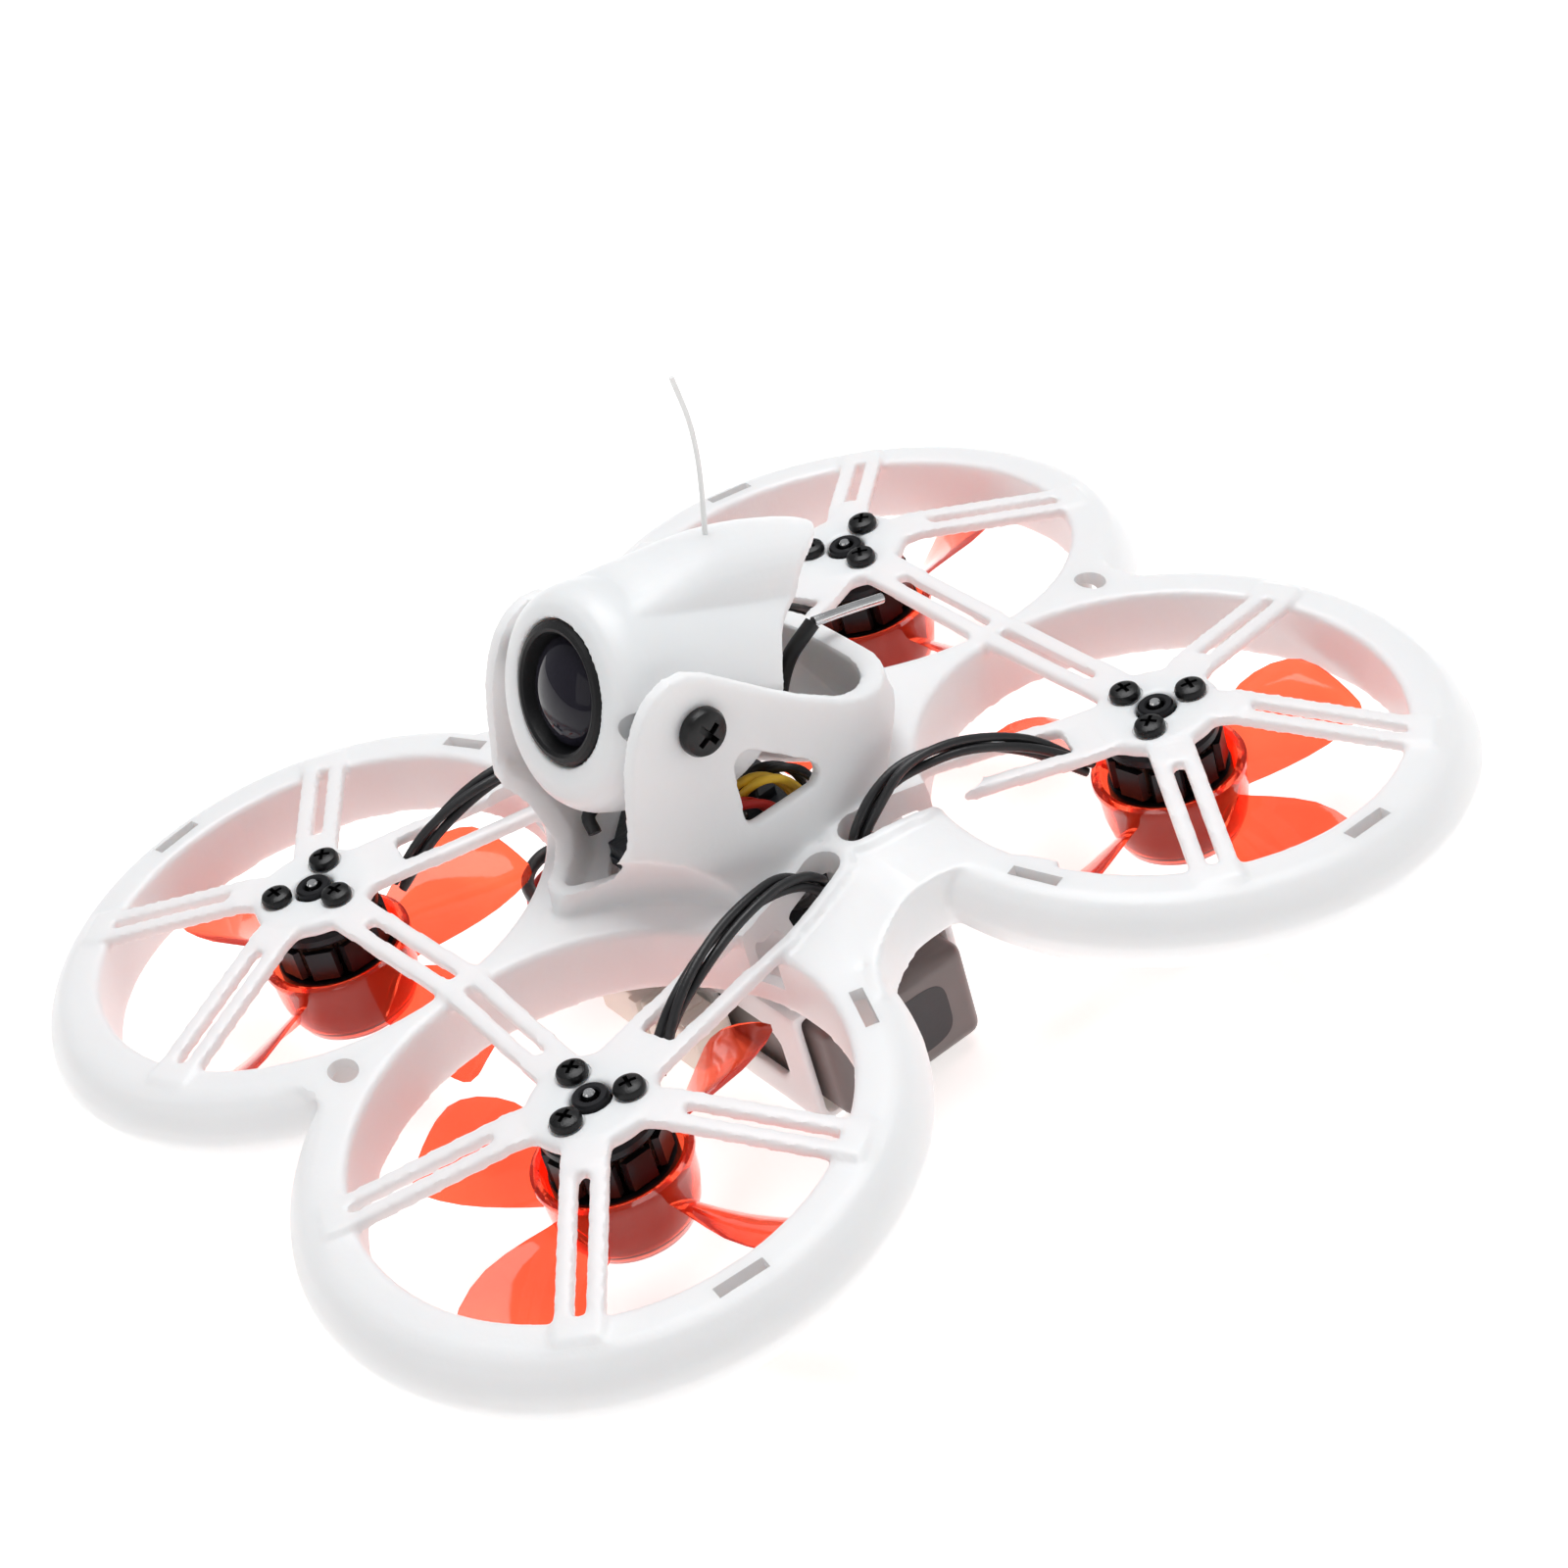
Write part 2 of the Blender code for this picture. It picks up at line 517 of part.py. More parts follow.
def motor_screw(corner, index, mat):
    """A small pan-head screw through the motor plate."""
    hx, hy = hub_place(corner)
    turn = math.radians(corner_angle(corner, SCREW_ANGLES[index] * -CORNERS[corner][1]))
    x, y = hx + SCREW_CIRCLE * math.cos(turn), hy + SCREW_CIRCLE * math.sin(turn)
    base = HUB_TOP + 0.15
    head = [(0, 0.75), (SCREW_SHANK_R, 0.75), (SCREW_SHANK_R, base), (SCREW_HEAD_R, base),
            (SCREW_HEAD_R, base + 0.4), (SCREW_HEAD_R * 0.72, base + SCREW_HEAD_H), (0, base + SCREW_HEAD_H)]
    bm = revolve(head, 8, closed=False)
    name = "motor_screw_%s_%d" % (corner, index + 1)
    return finish(name, moved(bm, shift(x, y)), mat, (x, y, base))


def motor_leads(corner, mat):
    """Three insulated leads from the motor, over the deck and down through its slot to the board."""
    side, row = CORNERS[corner]
    hx, hy = hub_place(corner)
    if row < 0:
        route = [(19.9, -23.6, -1.6), (18.9, -19.4, 2.4), (17.5, -13.4, 5.1), (16.3, -7.0, 5.3), (15.8, -3.4, 3.4),
                 (15.5, -1.8, 0.4), (12.2, -1.9, -2.6), (8.6, -1.2, -4.6)]
    else:
        route = [(19.3, 24.1, -1.6), (17.6, 19.6, 2.8), (15.9, 14.2, 6.2), (15.0, 9.4, 7.0), (14.8, 6.8, 6.0),
                 (14.3, 3.6, 2.4), (13.4, 3.0, -1.0), (10.6, 3.4, -3.4), (7.2, 4.0, -4.6)]
    path = [Vector((side * x, y, z)) for x, y, z in route]
    first = path[1] - path[0]
    out = Vector((first.y, -first.x, 0)).normalized()
    strands = None
    for offset in (-1.0, 0.0, 1.0):
        strand = tube([p + out * offset for p in path], 0.42)
        strands = strand if strands is None else combine(strands, strand, "UNION")
    for end in (path[0], path[-1]):
        block = moved(box(-1.7, 1.7, -0.7, 0.7, -0.5, 0.5),
                      shift(*end) @ turn_z(math.degrees(math.atan2(out.y, out.x))))
        strands = combine(strands, block, "UNION")
    return finish("motor_leads_" + corner, strands, mat, path[0])


# ---------------------------------------------------------------- camera
def tilted(bm):
    """Place a piece drawn level round the pivot at the camera's resting tilt."""
    return moved(bm, shift(*PIVOT) @ Matrix.Rotation(math.radians(-TILT), 4, "X"))


def hood_section(y, ridge, half, foot):
    """One arched section of the hood across the camera, ridge high in the middle."""
    arch = [(math.sin(math.radians(angle)), math.cos(math.radians(angle))) for angle in range(-90, 91, 20)]
    return ([(-half, y, foot - 2.0)] + [(half * a, y, foot + (ridge - foot) * b) for a, b in arch]
            + [(half, y, foot - 2.0)])


def camera_housing(mat):
    """The camera shroud: a barrel flattened between the ears, with an arched hood that ends in a swept peak."""
    outside = [(0, -6.0), (7.3, -6.4), (8.6, -6.0), (9.4, -4.9), (9.9, -3.0), (9.9, 18.6), (0, 18.6)]
    bm = moved(revolve(outside, 28, closed=False, axis="Y"), shift(0, 0, BARREL_SAG))
    bm = combine(bm, box(-BARREL_R, BARREL_R, -30, 30, -30, 30), "INTERSECT")
    ridge = [(-4.6, 7.6), (-2.6, 8.8), (0.0, 10.0), (2.6, 10.9), (5.0, 11.7), (7.2, 12.3), (12.0, 12.7), (18.6, 12.2)]
    bm = combine(bm, loft([hood_section(y, height, 5.1, 7.3) for y, height in ridge]), "UNION")
    cavity = [(0, -8), (6.7, -8), (6.7, -5.0), (BARREL_R - BARREL_WALL, -3.0), (BARREL_R - BARREL_WALL, 25), (0, 25)]
    bm = combine(bm, revolve(cavity, 28, closed=False, axis="Y"), "DIFFERENCE")
    room = [(y, height - 1.3) for y, height in ridge[3:]] + [(25.0, 10.9)]
    bm = combine(bm, loft([hood_section(y, height, 3.9, 7.3) for y, height in room]), "DIFFERENCE")
    half_plan = [(1.5, 17.4), (3.0, 15.6), (4.5, 13.6), (6.0, 11.6), (8.0, 10.2), (9.0, 9.6), (20, 9.4)]
    plan = [(-x, y) for x, y in reversed(half_plan)] + [(0, 18.1)] + half_plan + [(20, 30), (-20, 30)]
    bm = combine(bm, prism(plan, -30, 30), "DIFFERENCE")
    bm = combine(bm, prism([(5.5, -14), (7.6, -6), (9.4, -1), (30, -1), (30, -14)], -20, 20, "X"), "DIFFERENCE")
    slot = rounded(-5.0, 1.4, -1.35, 1.35, 1.3, 4)
    bm = combine(bm, prism(slot, -20, 20, "X"), "DIFFERENCE")
    return finish("camera_housing", tilted(bm), mat, PIVOT)


def camera_module(mat):
    """The camera itself: lens holder in front, round can behind."""
    profile = [(0, -4.7), (4.9, -4.7), (5.2, -6.2), (5.7, -6.7), (6.35, -6.3), (6.35, -1.6), (7.6, -1.6), (7.6, 7.6),
               (0, 7.6)]
    return finish("camera_module", tilted(revolve(profile, 24, closed=False, axis="Y")), mat, PIVOT)


def lens_glass(mat):
    """The wide, domed front lens."""
    profile = [(0, -7.0), (1.9, -6.8), (3.5, -6.2), (4.6, -5.2), (4.6, -5.0), (0, -5.0)]
    return finish("lens_glass", tilted(revolve(profile, 24, closed=False, axis="Y")), mat, PIVOT)


def pivot_screw(side, name, mat):
    """A pan-head screw through one ear into the camera."""
    head = EAR_OUT + 0.15
    profile = [(0, 7.9), (0.8, 7.9), (0.8, head), (2.3, head), (2.3, head + 0.7), (1.6, head + 1.4),
               (0, head + 1.4)]
    bm = revolve(profile, 12, closed=False)
    return finish(name, moved(bm, shift(*PIVOT) @ Matrix.Rotation(math.radians(90 * side), 4, "Y")), mat, PIVOT)


def whip_antenna(mat):
    """The stiff white receiver whip that stands on the hood."""
    path = smooth_path([(0, 5.3, 27.15), (0, 6.1, 30.6), (0.1, 6.6, 34.0), (0.2, 6.7, 37.5), (0.2, 6.3, 41.6)], 3)
    return finish("whip_antenna", tube(path, 0.28), mat, path[0])


# ---------------------------------------------------------------- electronics and battery
def flight_controller(mat):
    """The main board, set corner-on between the ducts, with its larger chips."""
    square = prism([(0, -16.4), (16.4, 0), (0, 16.4), (-16.4, 0)], -7.2, -6.2)
    bm = combine(square, box(-10.8, 10.8, -12.6, 12.6, -9, 0), "INTERSECT")
    for x, y, w, d, h in ((0, -1, 5.5, 5.5, 0.9), (-6, -3, 3, 4, 1.0), (1, 9, 4, 3, 0.9), (-3, -8.5, 5, 2.4, 1.3)):
        bm = combine(bm, box(x - w / 2, x + w / 2, y - d / 2, y + d / 2, -6.5, -6.2 + h), "UNION")
    return finish("flight_controller", bm, mat)


def video_board(mat):
    """The video transmitter above the main board, just behind the front lip."""
    square = prism([(0, -13.4), (12.0, -1.4), (0, 10.6), (-12.0, -1.4)], 1.6, 2.5)
    bm = combine(square, box(-8.4, 8.4, -11.6, 4.6, 0, 4), "INTERSECT")
    for x, y, w, d, h in ((0, -10.2, 3.6, 2.4, 1.5), (4.2, -5, 3.6, 3.6, 0.8), (-3.4, -1, 5, 5, 0.9)):
        bm = combine(bm, box(x - w / 2, x + w / 2, y - d / 2, y + d / 2, 2.2, 2.5 + h), "UNION")
    return finish("video_board", bm, mat)


def antenna_sleeve(mat):
    """Black shrink sleeve where the video antenna leaves the pod."""
    path = smooth_path([(0, 6.6, 4.6), (0, 7.6, 8.2), (0, 9.6, 11.2), (0, 12.6, 12.9)], 3)
    return finish("antenna_sleeve", tube(path, 0.75), mat, path[0])


def antenna_tip(mat):
    """The bare metal end of the video antenna, behind the pod."""
    path = [Vector((0, 12.9, 13.0)), Vector((0, 16.4, 12.1)), Vector((0, 20.0, 11.1))]
    return finish("antenna_tip", tube(path, 0.5), mat, path[0])


def battery(mat):
    """The flat pack that lies crossways in the bay."""
    length, width, height = BATTERY
    x, y, z = BATTERY_C
    outline = [(y + a, z + b) for a, b in rounded(-width / 2, width / 2, -height / 2, height / 2, 1.2, 3)]
    return finish("battery", prism(outline, x - length / 2, x + length / 2, "X"), mat, BATTERY_C)


def battery_lead(name, drop, mat):
    """One of the two thick battery leads, looping out to the side and forward to the plug."""
    end = -22.3
    path = smooth_path([(end, -3.4, -12.2 - drop * 0.9), (end - 2.4, -4.4, -12.2 - drop), (end - 4.0, -7.2, -12.4 - drop),
                        (end - 2.0, -10.4, -12.6 - drop), (end + 4.0, -11.8, -12.8 - drop),
                        (-12.6, -12.0, -12.9 - drop), (-8.6, -12.0, -12.9 - drop)], 3)
    return finish(name, tube(path, 0.65), mat, path[0])


def plug_half(name, x0, x1, collar, mat):
    """One half of the white battery connector."""
    bm = box(x0, x1, -14.0, -10.0, -16.6, -11.8)
    edge = x1 if collar > 0 else x0
    bm = combine(bm, box(*sorted((edge, edge - collar * 1.4)), -14.6, -9.7, -17.0, -11.6), "UNION")
    return finish(name, bm, mat)


def camera_cable(mat):
    """The flat black camera lead from the module down to the video board."""
    path = smooth_path([(-4.4, -4.0, 5.0), (-4.6, -8.0, 5.8), (-4.4, -11.0, 5.5), (-3.2, -11.6, 4.3)], 3)
    return finish("camera_cable", tube(path, 0.6), mat, path[0])


def build():
    for obj in list(bpy.data.objects):
        bpy.data.objects.remove(obj, do_unlink=True)
    frame = material("frame_white", (0.93, 0.92, 0.92), 0.38)
    prop = material("prop_red", (0.86, 0.08, 0.03), 0.15, alpha=0.75)
    black = material("black_metal", (0.02, 0.02, 0.022), 0.4, 0.6)
    steel = material("bright_steel", (0.75, 0.75, 0.76), 0.25, 1.0)
    screw = material("screw_black", (0.015, 0.015, 0.017), 0.35, 0.7)
    lead = material("lead_black", (0.015, 0.015, 0.015), 0.45)
    red = material("lead_red", (0.7, 0.02, 0.015), 0.4)
    optic = material("lens_glass", (0.02, 0.02, 0.03), 0.05)
    case = material("camera_black", (0.02, 0.02, 0.02), 0.35)
    board = material("board_black", (0.02, 0.022, 0.025), 0.5)
    wrap = material("battery_wrap", (0.16, 0.14, 0.14), 0.45)
    nylon = material("connector_cream", (0.9, 0.86, 0.78), 0.5)
    whip = material("whip_white", (0.92, 0.92, 0.9), 0.4)
    for corner in CORNERS:
        duct(corner, frame)
        motor_mount(corner, frame)
        stator(corner, black)
        bell(corner, black)
        shaft(corner, steel)
        propeller(corner, prop)
        motor_leads(corner, lead)
        for index in range(3):
            motor_screw(corner, index, screw)
    deck(frame)
    camera_pod(frame)
    battery_bay(frame)
    camera_housing(frame)
    camera_module(case)
    lens_glass(optic)
    pivot_screw(1, "pivot_screw_left", screw)
    pivot_screw(-1, "pivot_screw_right", screw)
    whip_antenna(whip)
    flight_controller(board)
    video_board(board)
    camera_cable(lead)
    antenna_sleeve(lead)
    antenna_tip(steel)
    battery(wrap)
    battery_lead("battery_lead_black", 0.0, lead)
    battery_lead("battery_lead_red", 2.2, red)
    plug_half("battery_plug", -8.2, -0.2, 1, nylon)
    plug_half("battery_socket", 0.2, 7.6, -1, nylon)


build()
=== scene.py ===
import math

import bpy
from mathutils import Matrix, Vector


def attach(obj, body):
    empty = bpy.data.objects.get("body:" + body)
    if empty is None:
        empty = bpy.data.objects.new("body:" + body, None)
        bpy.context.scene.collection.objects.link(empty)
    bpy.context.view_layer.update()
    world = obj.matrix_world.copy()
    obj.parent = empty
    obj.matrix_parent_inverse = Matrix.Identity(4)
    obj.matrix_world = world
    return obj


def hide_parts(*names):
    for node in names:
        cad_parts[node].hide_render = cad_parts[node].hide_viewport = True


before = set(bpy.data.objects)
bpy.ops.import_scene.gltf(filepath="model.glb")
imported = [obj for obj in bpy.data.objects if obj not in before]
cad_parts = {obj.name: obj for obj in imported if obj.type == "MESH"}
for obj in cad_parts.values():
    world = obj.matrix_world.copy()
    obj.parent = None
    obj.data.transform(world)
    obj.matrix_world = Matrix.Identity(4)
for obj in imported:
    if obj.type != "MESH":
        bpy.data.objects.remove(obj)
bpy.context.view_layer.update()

# ---------------------------------------------------------------- camera, light and table
# The drone stands on a plain white table under large soft lamps. It is seen from its front left corner,
# a little from above, with a long lens held at a slant.
MM = 0.001
DUCT_PLANE = 20.2                      # the duct tops' height over the table, in millimetres


def at(x, y, z):
    """A place given in millimetres from the middle of the drone, with z measured from the duct tops."""
    return Vector((x, y, z + DUCT_PLANE)) * MM


eye, aim, camera_roll = at(229.78, -114.78, 184.98), at(1.55, 4.73, 1.13), math.radians(-16.8)
camera_data = bpy.data.cameras.new("studio_camera")
camera_data.lens, camera_data.sensor_width, camera_data.clip_start = 83.8, 36.0, 0.01
camera = bpy.data.objects.new("studio_camera", camera_data)
bpy.context.scene.collection.objects.link(camera)
looking = (aim - eye).to_track_quat("-Z", "Y").to_matrix().to_4x4()
camera.matrix_world = Matrix.Translation(eye) @ looking @ Matrix.Rotation(camera_roll, 4, "Z")
bpy.context.scene.camera = camera
bpy.context.scene.view_settings.view_transform = "Standard"

world = bpy.data.worlds.new("studio_air")
world.use_nodes = True
world.node_tree.nodes["Background"].inputs["Color"].default_value = (0.955, 0.975, 1.0, 1.0)
world.node_tree.nodes["Background"].inputs["Strength"].default_value = 0.32
bpy.context.scene.world = world


def softbox(name, place, size, watts, tint=(1.0, 1.0, 1.0)):
    """A square soft lamp that faces the drone."""
    lamp = bpy.data.lights.new(name, "AREA")
    lamp.size, lamp.energy, lamp.color = size, watts, tint
    holder = bpy.data.objects.new(name, lamp)
    holder.location = place
    holder.rotation_euler = (-place).to_track_quat("-Z", "Y").to_euler()
    bpy.context.scene.collection.objects.link(holder)


softbox("overhead_softbox", Vector((-0.10, 0.16, 0.70)), 0.5, 3.9)
softbox("left_softbox", Vector((0.55, 0.35, 0.30)), 0.5, 0.12)
softbox("front_softbox", Vector((0.10, -0.70, 0.35)), 0.5, 0.55, (1.0, 0.98, 0.96))

bpy.ops.object.select_all(action="DESELECT")
bpy.ops.mesh.primitive_plane_add(size=3.0, location=(0, 0, -0.0002))
table = bpy.context.object
table.name = "studio_table"
table_paint = bpy.data.materials.new("table_white")
table_paint.use_nodes = True
for socket, value in (("Base Color", (0.9, 0.89, 0.88, 1)), ("Roughness", 0.9),
                      ("Emission Color", (1.0, 0.99, 0.975, 1)), ("Emission Strength", 0.62)):
    table_paint.node_tree.nodes["Principled BSDF"].inputs[socket].default_value = value
table.data.materials.append(table_paint)


# ---------------------------------------------------------------- moulded frame
# One white polypropylene moulding carries everything: four channel-shaped prop guards, a round motor
# plate on five double spokes in each, the skin between them, the cradle for the camera and the
# battery bay below. It is a single injection moulding, so all its corners are softly rounded.
HUB_X, HUB_Y = 21.85, 30.48            # how far the motor shafts are from the middle, across and along
WELD = 0.000004                        # vertices nearer than this, in metres, are one
CORNERS = {"front_left": (1, -1), "front_right": (-1, -1), "rear_left": (1, 1), "rear_right": (-1, 1)}


def nothing_selected():
    """Leave edit mode and deselect everything."""
    if bpy.context.object and bpy.context.object.mode != "OBJECT":
        bpy.ops.object.mode_set(mode="OBJECT")
    bpy.ops.object.select_all(action="DESELECT")


def settle(obj):
    """Leave the object at the origin with its place in its mesh."""
    nothing_selected()
    obj.select_set(True)
    bpy.context.view_layer.objects.active = obj
    bpy.ops.object.transform_apply(location=True, rotation=True, scale=True)
    return obj


def draw_line(name, points):
    """Draw a chain of edges by pulling one vertex from point to point; it is left in edit mode."""
    nothing_selected()
    bpy.ops.mesh.primitive_plane_add(size=MM, location=points[0])
    obj = bpy.context.object
    obj.name = name
    bpy.ops.object.mode_set(mode="EDIT")
    bpy.ops.mesh.merge(type="CENTER")
    for here, there in zip(points, points[1:]):
        bpy.ops.mesh.extrude_region_move(TRANSFORM_OT_translate={"value": there - here})
    return obj


def close_up(obj):
    """Weld doubles, turn the faces outwards and leave edit mode."""
    bpy.ops.mesh.select_all(action="SELECT")
    bpy.ops.mesh.remove_doubles(threshold=WELD)
    bpy.ops.mesh.normals_make_consistent(inside=False)
    return settle(obj)


def lathe(name, profile, centre, steps, hollow=True):
    """Spin a profile of (radius, height) round an upright axis; a solid's profile ends on the axis."""
    points = [at(centre[0] + radius, centre[1], height) for radius, height in profile]
    obj = draw_line(name, points + points[:1] if hollow else points)
    bpy.ops.mesh.select_all(action="SELECT")
    bpy.ops.mesh.spin(steps=steps, angle=2 * math.pi, center=at(*centre, 0), axis=(0, 0, 1))
    return close_up(obj)


def slab(name, outline, push):
    """Fill a flat outline and pull it out into a slab."""
    obj = draw_line(name, outline)
    bpy.ops.mesh.select_all(action="SELECT")
    bpy.ops.mesh.edge_face_add()
    bpy.ops.mesh.extrude_region_move(TRANSFORM_OT_translate={"value": push * MM})
    return close_up(obj)


def loft(name, rows):
    """Raise a solid through outlines with equally many points, pulling its end face up row by row."""
    nothing_selected()
    bpy.ops.mesh.primitive_circle_add(vertices=len(rows[0]), radius=0.01, fill_type="NGON")
    obj = bpy.context.object
    obj.name = name
    order = list(obj.data.vertices)
    for vert, place in zip(order, rows[0]):
        vert.co = place
    for below, above in zip(rows, rows[1:]):
        bpy.ops.object.mode_set(mode="EDIT")
        bpy.ops.mesh.extrude_region_move(TRANSFORM_OT_translate={"value": (0, 0, 0)})
        bpy.ops.object.mode_set(mode="OBJECT")
        for vert in [v for v in obj.data.vertices if v.select]:
            nearest = min(range(len(below)), key=lambda i: (below[i] - vert.co).length_squared)
            vert.co = above[nearest]
    bpy.ops.object.mode_set(mode="EDIT")
    return close_up(obj)


def apply_all(obj):
    """Apply the object's modifiers in their order."""
    nothing_selected()
    obj.select_set(True)
    bpy.context.view_layer.objects.active = obj
    for step in list(obj.modifiers):
        bpy.ops.object.modifier_apply(modifier=step.name)
    return obj


def carve(obj, tool, operation="DIFFERENCE"):
    """Cut, join or keep the common part of two solids; the second is used up."""
    step = obj.modifiers.new("carve", "BOOLEAN")
    step.object, step.operation, step.solver = tool, operation, "EXACT"
    apply_all(obj)
    bpy.data.objects.remove(tool)
    return obj


def join_up(name, pieces):
    """Make one object of several, without fusing their skins."""
    nothing_selected()
    for piece in pieces:
        piece.select_set(True)
    bpy.context.view_layer.objects.active = pieces[0]
    if len(pieces) > 1:
        bpy.ops.object.join()
    pieces[0].name = name
    return pieces[0]


def smooth_by(obj, degrees):
    """Shade smoothly, apart from edges sharper than this angle."""
    nothing_selected()
    obj.select_set(True)
    bpy.context.view_layer.objects.active = obj
    bpy.ops.object.shade_smooth_by_angle(angle=math.radians(degrees))
    return obj


def melt(obj, voxel, smoothing, keep):
    """Fuse overlapping solids into one skin and soften its corners, as a mould leaves them."""
    step = obj.modifiers.new("fuse", "REMESH")
    step.mode, step.voxel_size = "VOXEL", voxel * MM
    step = obj.modifiers.new("soften", "SMOOTH")
    step.factor, step.iterations = 0.5, smoothing
    step = obj.modifiers.new("thin_out", "DECIMATE")
    step.ratio = keep
    return apply_all(obj)


FALL_ASIDE, FALL_ALONG = 0.051, {-1: 0.045, 1: 0.109}     # slopes of the tops; -1 is the front row


def hub_place(corner):
    """Where a corner's motor shaft stands."""
    side, row = CORNERS[corner]
    return side * HUB_X, row * HUB_Y


def mirrored(corner, degrees):
    """An angle given for the left side, as the right side has it."""
    return degrees if CORNERS[corner][0] > 0 else 180 - degrees


def duct_top(corner, x, y):
    """The duct tops fall away from the middle of the drone."""
    side, row = CORNERS[corner]
    hx, hy = hub_place(corner)
    return -FALL_ASIDE * side * (x - hx) - FALL_ALONG[row] * row * (y - hy)


def deck_top(x, y):
    """The skin's height, which passes smoothly from the front ducts' slope to the rear ducts'."""
    blend = min(max((y + 8) / 16, 0.0), 1.0)
    slope = FALL_ALONG[-1] + (FALL_ALONG[1] - FALL_ALONG[-1]) * blend * blend * (3 - 2 * blend)
    return -FALL_ASIDE * (abs(x) - HUB_X) - slope * (abs(y) - HUB_Y)


def lift_by(obj, height):
    """Raise each vertex by the height that its place calls for."""
    for vert in obj.data.vertices:
        vert.co.z += height(vert.co.x / MM, vert.co.y / MM) * MM
    return obj


def bearing(corner, degrees):
    """Directions outwards and along the rim at an angle round a hub."""
    turn = math.radians(mirrored(corner, degrees))
    return Vector((math.cos(turn), math.sin(turn), 0)), Vector((-math.sin(turn), math.cos(turn), 0))


def screw_place(corner, angle):
    """Where a screw goes through the motor plate."""
    turn = math.radians(mirrored(corner, angle * -CORNERS[corner][1]))
    hx, hy = hub_place(corner)
    return hx + SCREW_RING * math.cos(turn), hy + SCREW_RING * math.sin(turn)


# the guard's channel section as (radius, height), and the angles of what is set round each hub
channel = [(20.8, -6.5), (20.8, -0.55), (20.95, -0.2), (21.3, 0.0), (23.7, 0.0), (24.7, -0.35),
           (25.6, -1.2), (26.3, -2.4), (26.6, -3.6), (26.3, -4.9), (25.4, -6.3), (24.3, -7.5), (23.3, -7.2),
           (24.5, -5.7), (25.2, -4.3), (25.3, -3.3), (24.8, -2.2), (24.0, -1.3), (22.9, -1.05),
           (21.9, -1.3), (21.8, -6.5)]
rim_slots = {-1: (-7.0, 69.0), 1: (5.0, -68.0)}
spoke_angles = {-1: (176, 104, 32, -40, -112), 1: (180, -112, -30, 40, 110)}
screw_angles, SCREW_RING = (170, 50, -70), 3.3
RIM_MIDDLE, SLOT_THICK, SLOT_LONG = 22.9, 0.6, 2.25       # rim slots: radius, half width, half length
PLATE_EDGE, DUCT_EDGE, SPOKE_BAR = 4.4, 20.8, 1.5         # spokes: both radii and each bar's width
moulding, pockets = [], []
for corner, (side, row) in CORNERS.items():
    hx, hy = hub_place(corner)
    guard = lathe("guard", channel, (hx, hy), 96)
    web = slab("web", [at(x * side, y * row, -1.0) for x, y in
                       ((-0.4, 39.6), (4.4, 42.2), (8.4, 47.4), (6.4, 47.3), (4.4, 46.3), (2.2, 45.1),
                        (-0.4, 44.4))],
               Vector((0, 0, 1.0)))
    for piece in (guard, web):
        carve(piece, slab("far_side", [at(-side * 0.2, y, z) for y,
                                       z in ((-70, -20), (70, -20), (70, 20), (-70, 20))],
                          Vector((-side * 40, 0, 0))))
        lift_by(piece, lambda x, y: duct_top(corner, x, y))
        moulding.append(piece)
    for angle in rim_slots[row]:
        out, along = bearing(corner, angle)
        middle = Vector((hx, hy, -3.2)) + out * RIM_MIDDLE
        pockets.append(slab("rim_slot", [at(*(middle + out * a * SLOT_THICK + along * b * SLOT_LONG))
                                         for a, b in ((-1, -1), (1, -1), (1, 1), (-1, 1))],
                                         Vector((0, 0, 7))))
    # the motor plate, with a bore for the motor's neck and countersinks for three screws
    plate = lathe("plate", [(1.8, 0.6), (5.3, 0.6), (5.6, 0.9), (5.6, 1.6), (5.35, 2.0), (4.9, 2.1),
                            (2.1, 2.1), (1.8, 1.9)], (hx, hy), 48)
    moulding.append(plate)
    # a spoke is two bars side by side, closed at the plate and the rim; the second straddles the leads,
    # and the first stops short of its neighbour where two ducts meet
    for number, angle in enumerate(spoke_angles[row]):
        out, along = bearing(corner, angle)
        seat = duct_top(corner, hx + 21.6 * out.x, hy + 21.6 * out.y)
        slot = 1.75 if number == 1 else 0.5
        reach = 22.2 if number == 0 else 23.4
        end = [(reach - 0.3, seat + 0.34), (reach, seat + 0.1), (reach, seat - 0.6)]
        run = [(PLATE_EDGE, 1.95), (7.0, 1.9), (20.4, seat + 0.5), *end,
               (DUCT_EDGE, seat - 0.8), (7.0, 0.75), (PLATE_EDGE, 0.7)]
        cap = [(20.9, seat + 0.46), *end, (20.9, seat - 0.8)]
        root = [(4.6, 1.95), (8.2, 1.85), (8.2, 0.7), (4.6, 0.7)]
        centre = Vector((hx, hy, 0))
        for outline, start, width in ((run, slot, SPOKE_BAR), (run, -slot - SPOKE_BAR, SPOKE_BAR),
                                      (cap, -slot - 0.2, 2 * slot + 0.4),
                                      (root, -slot - 0.2, 2 * slot + 0.4)):
            moulding.append(slab("spoke", [at(*(centre + out * r + along * start + Vector((0, 0, z))))
                                           for r, z in outline], along * width))
    for angle in screw_angles:
        pockets.append(lathe("screw_hole", [(0, -1), (0.8, -1), (0.8, 1.75), (1.55, 1.95), (1.55, 4),
                                            (0, 4)],
                             screw_place(corner, angle), 20, hollow=False))
# an oval hole in each web, between the two front ducts and between the two rear ones
for row, middle in ((-1, 41.4), (1, 41.7)):
    turns = [k * math.pi / 10 for k in range(20)]
    pockets.append(slab("web_hole", [at(1.7 * math.cos(t), row * middle + 1.25 * math.sin(t), -4)
                                     for t in turns], Vector((0, 0, 8))))

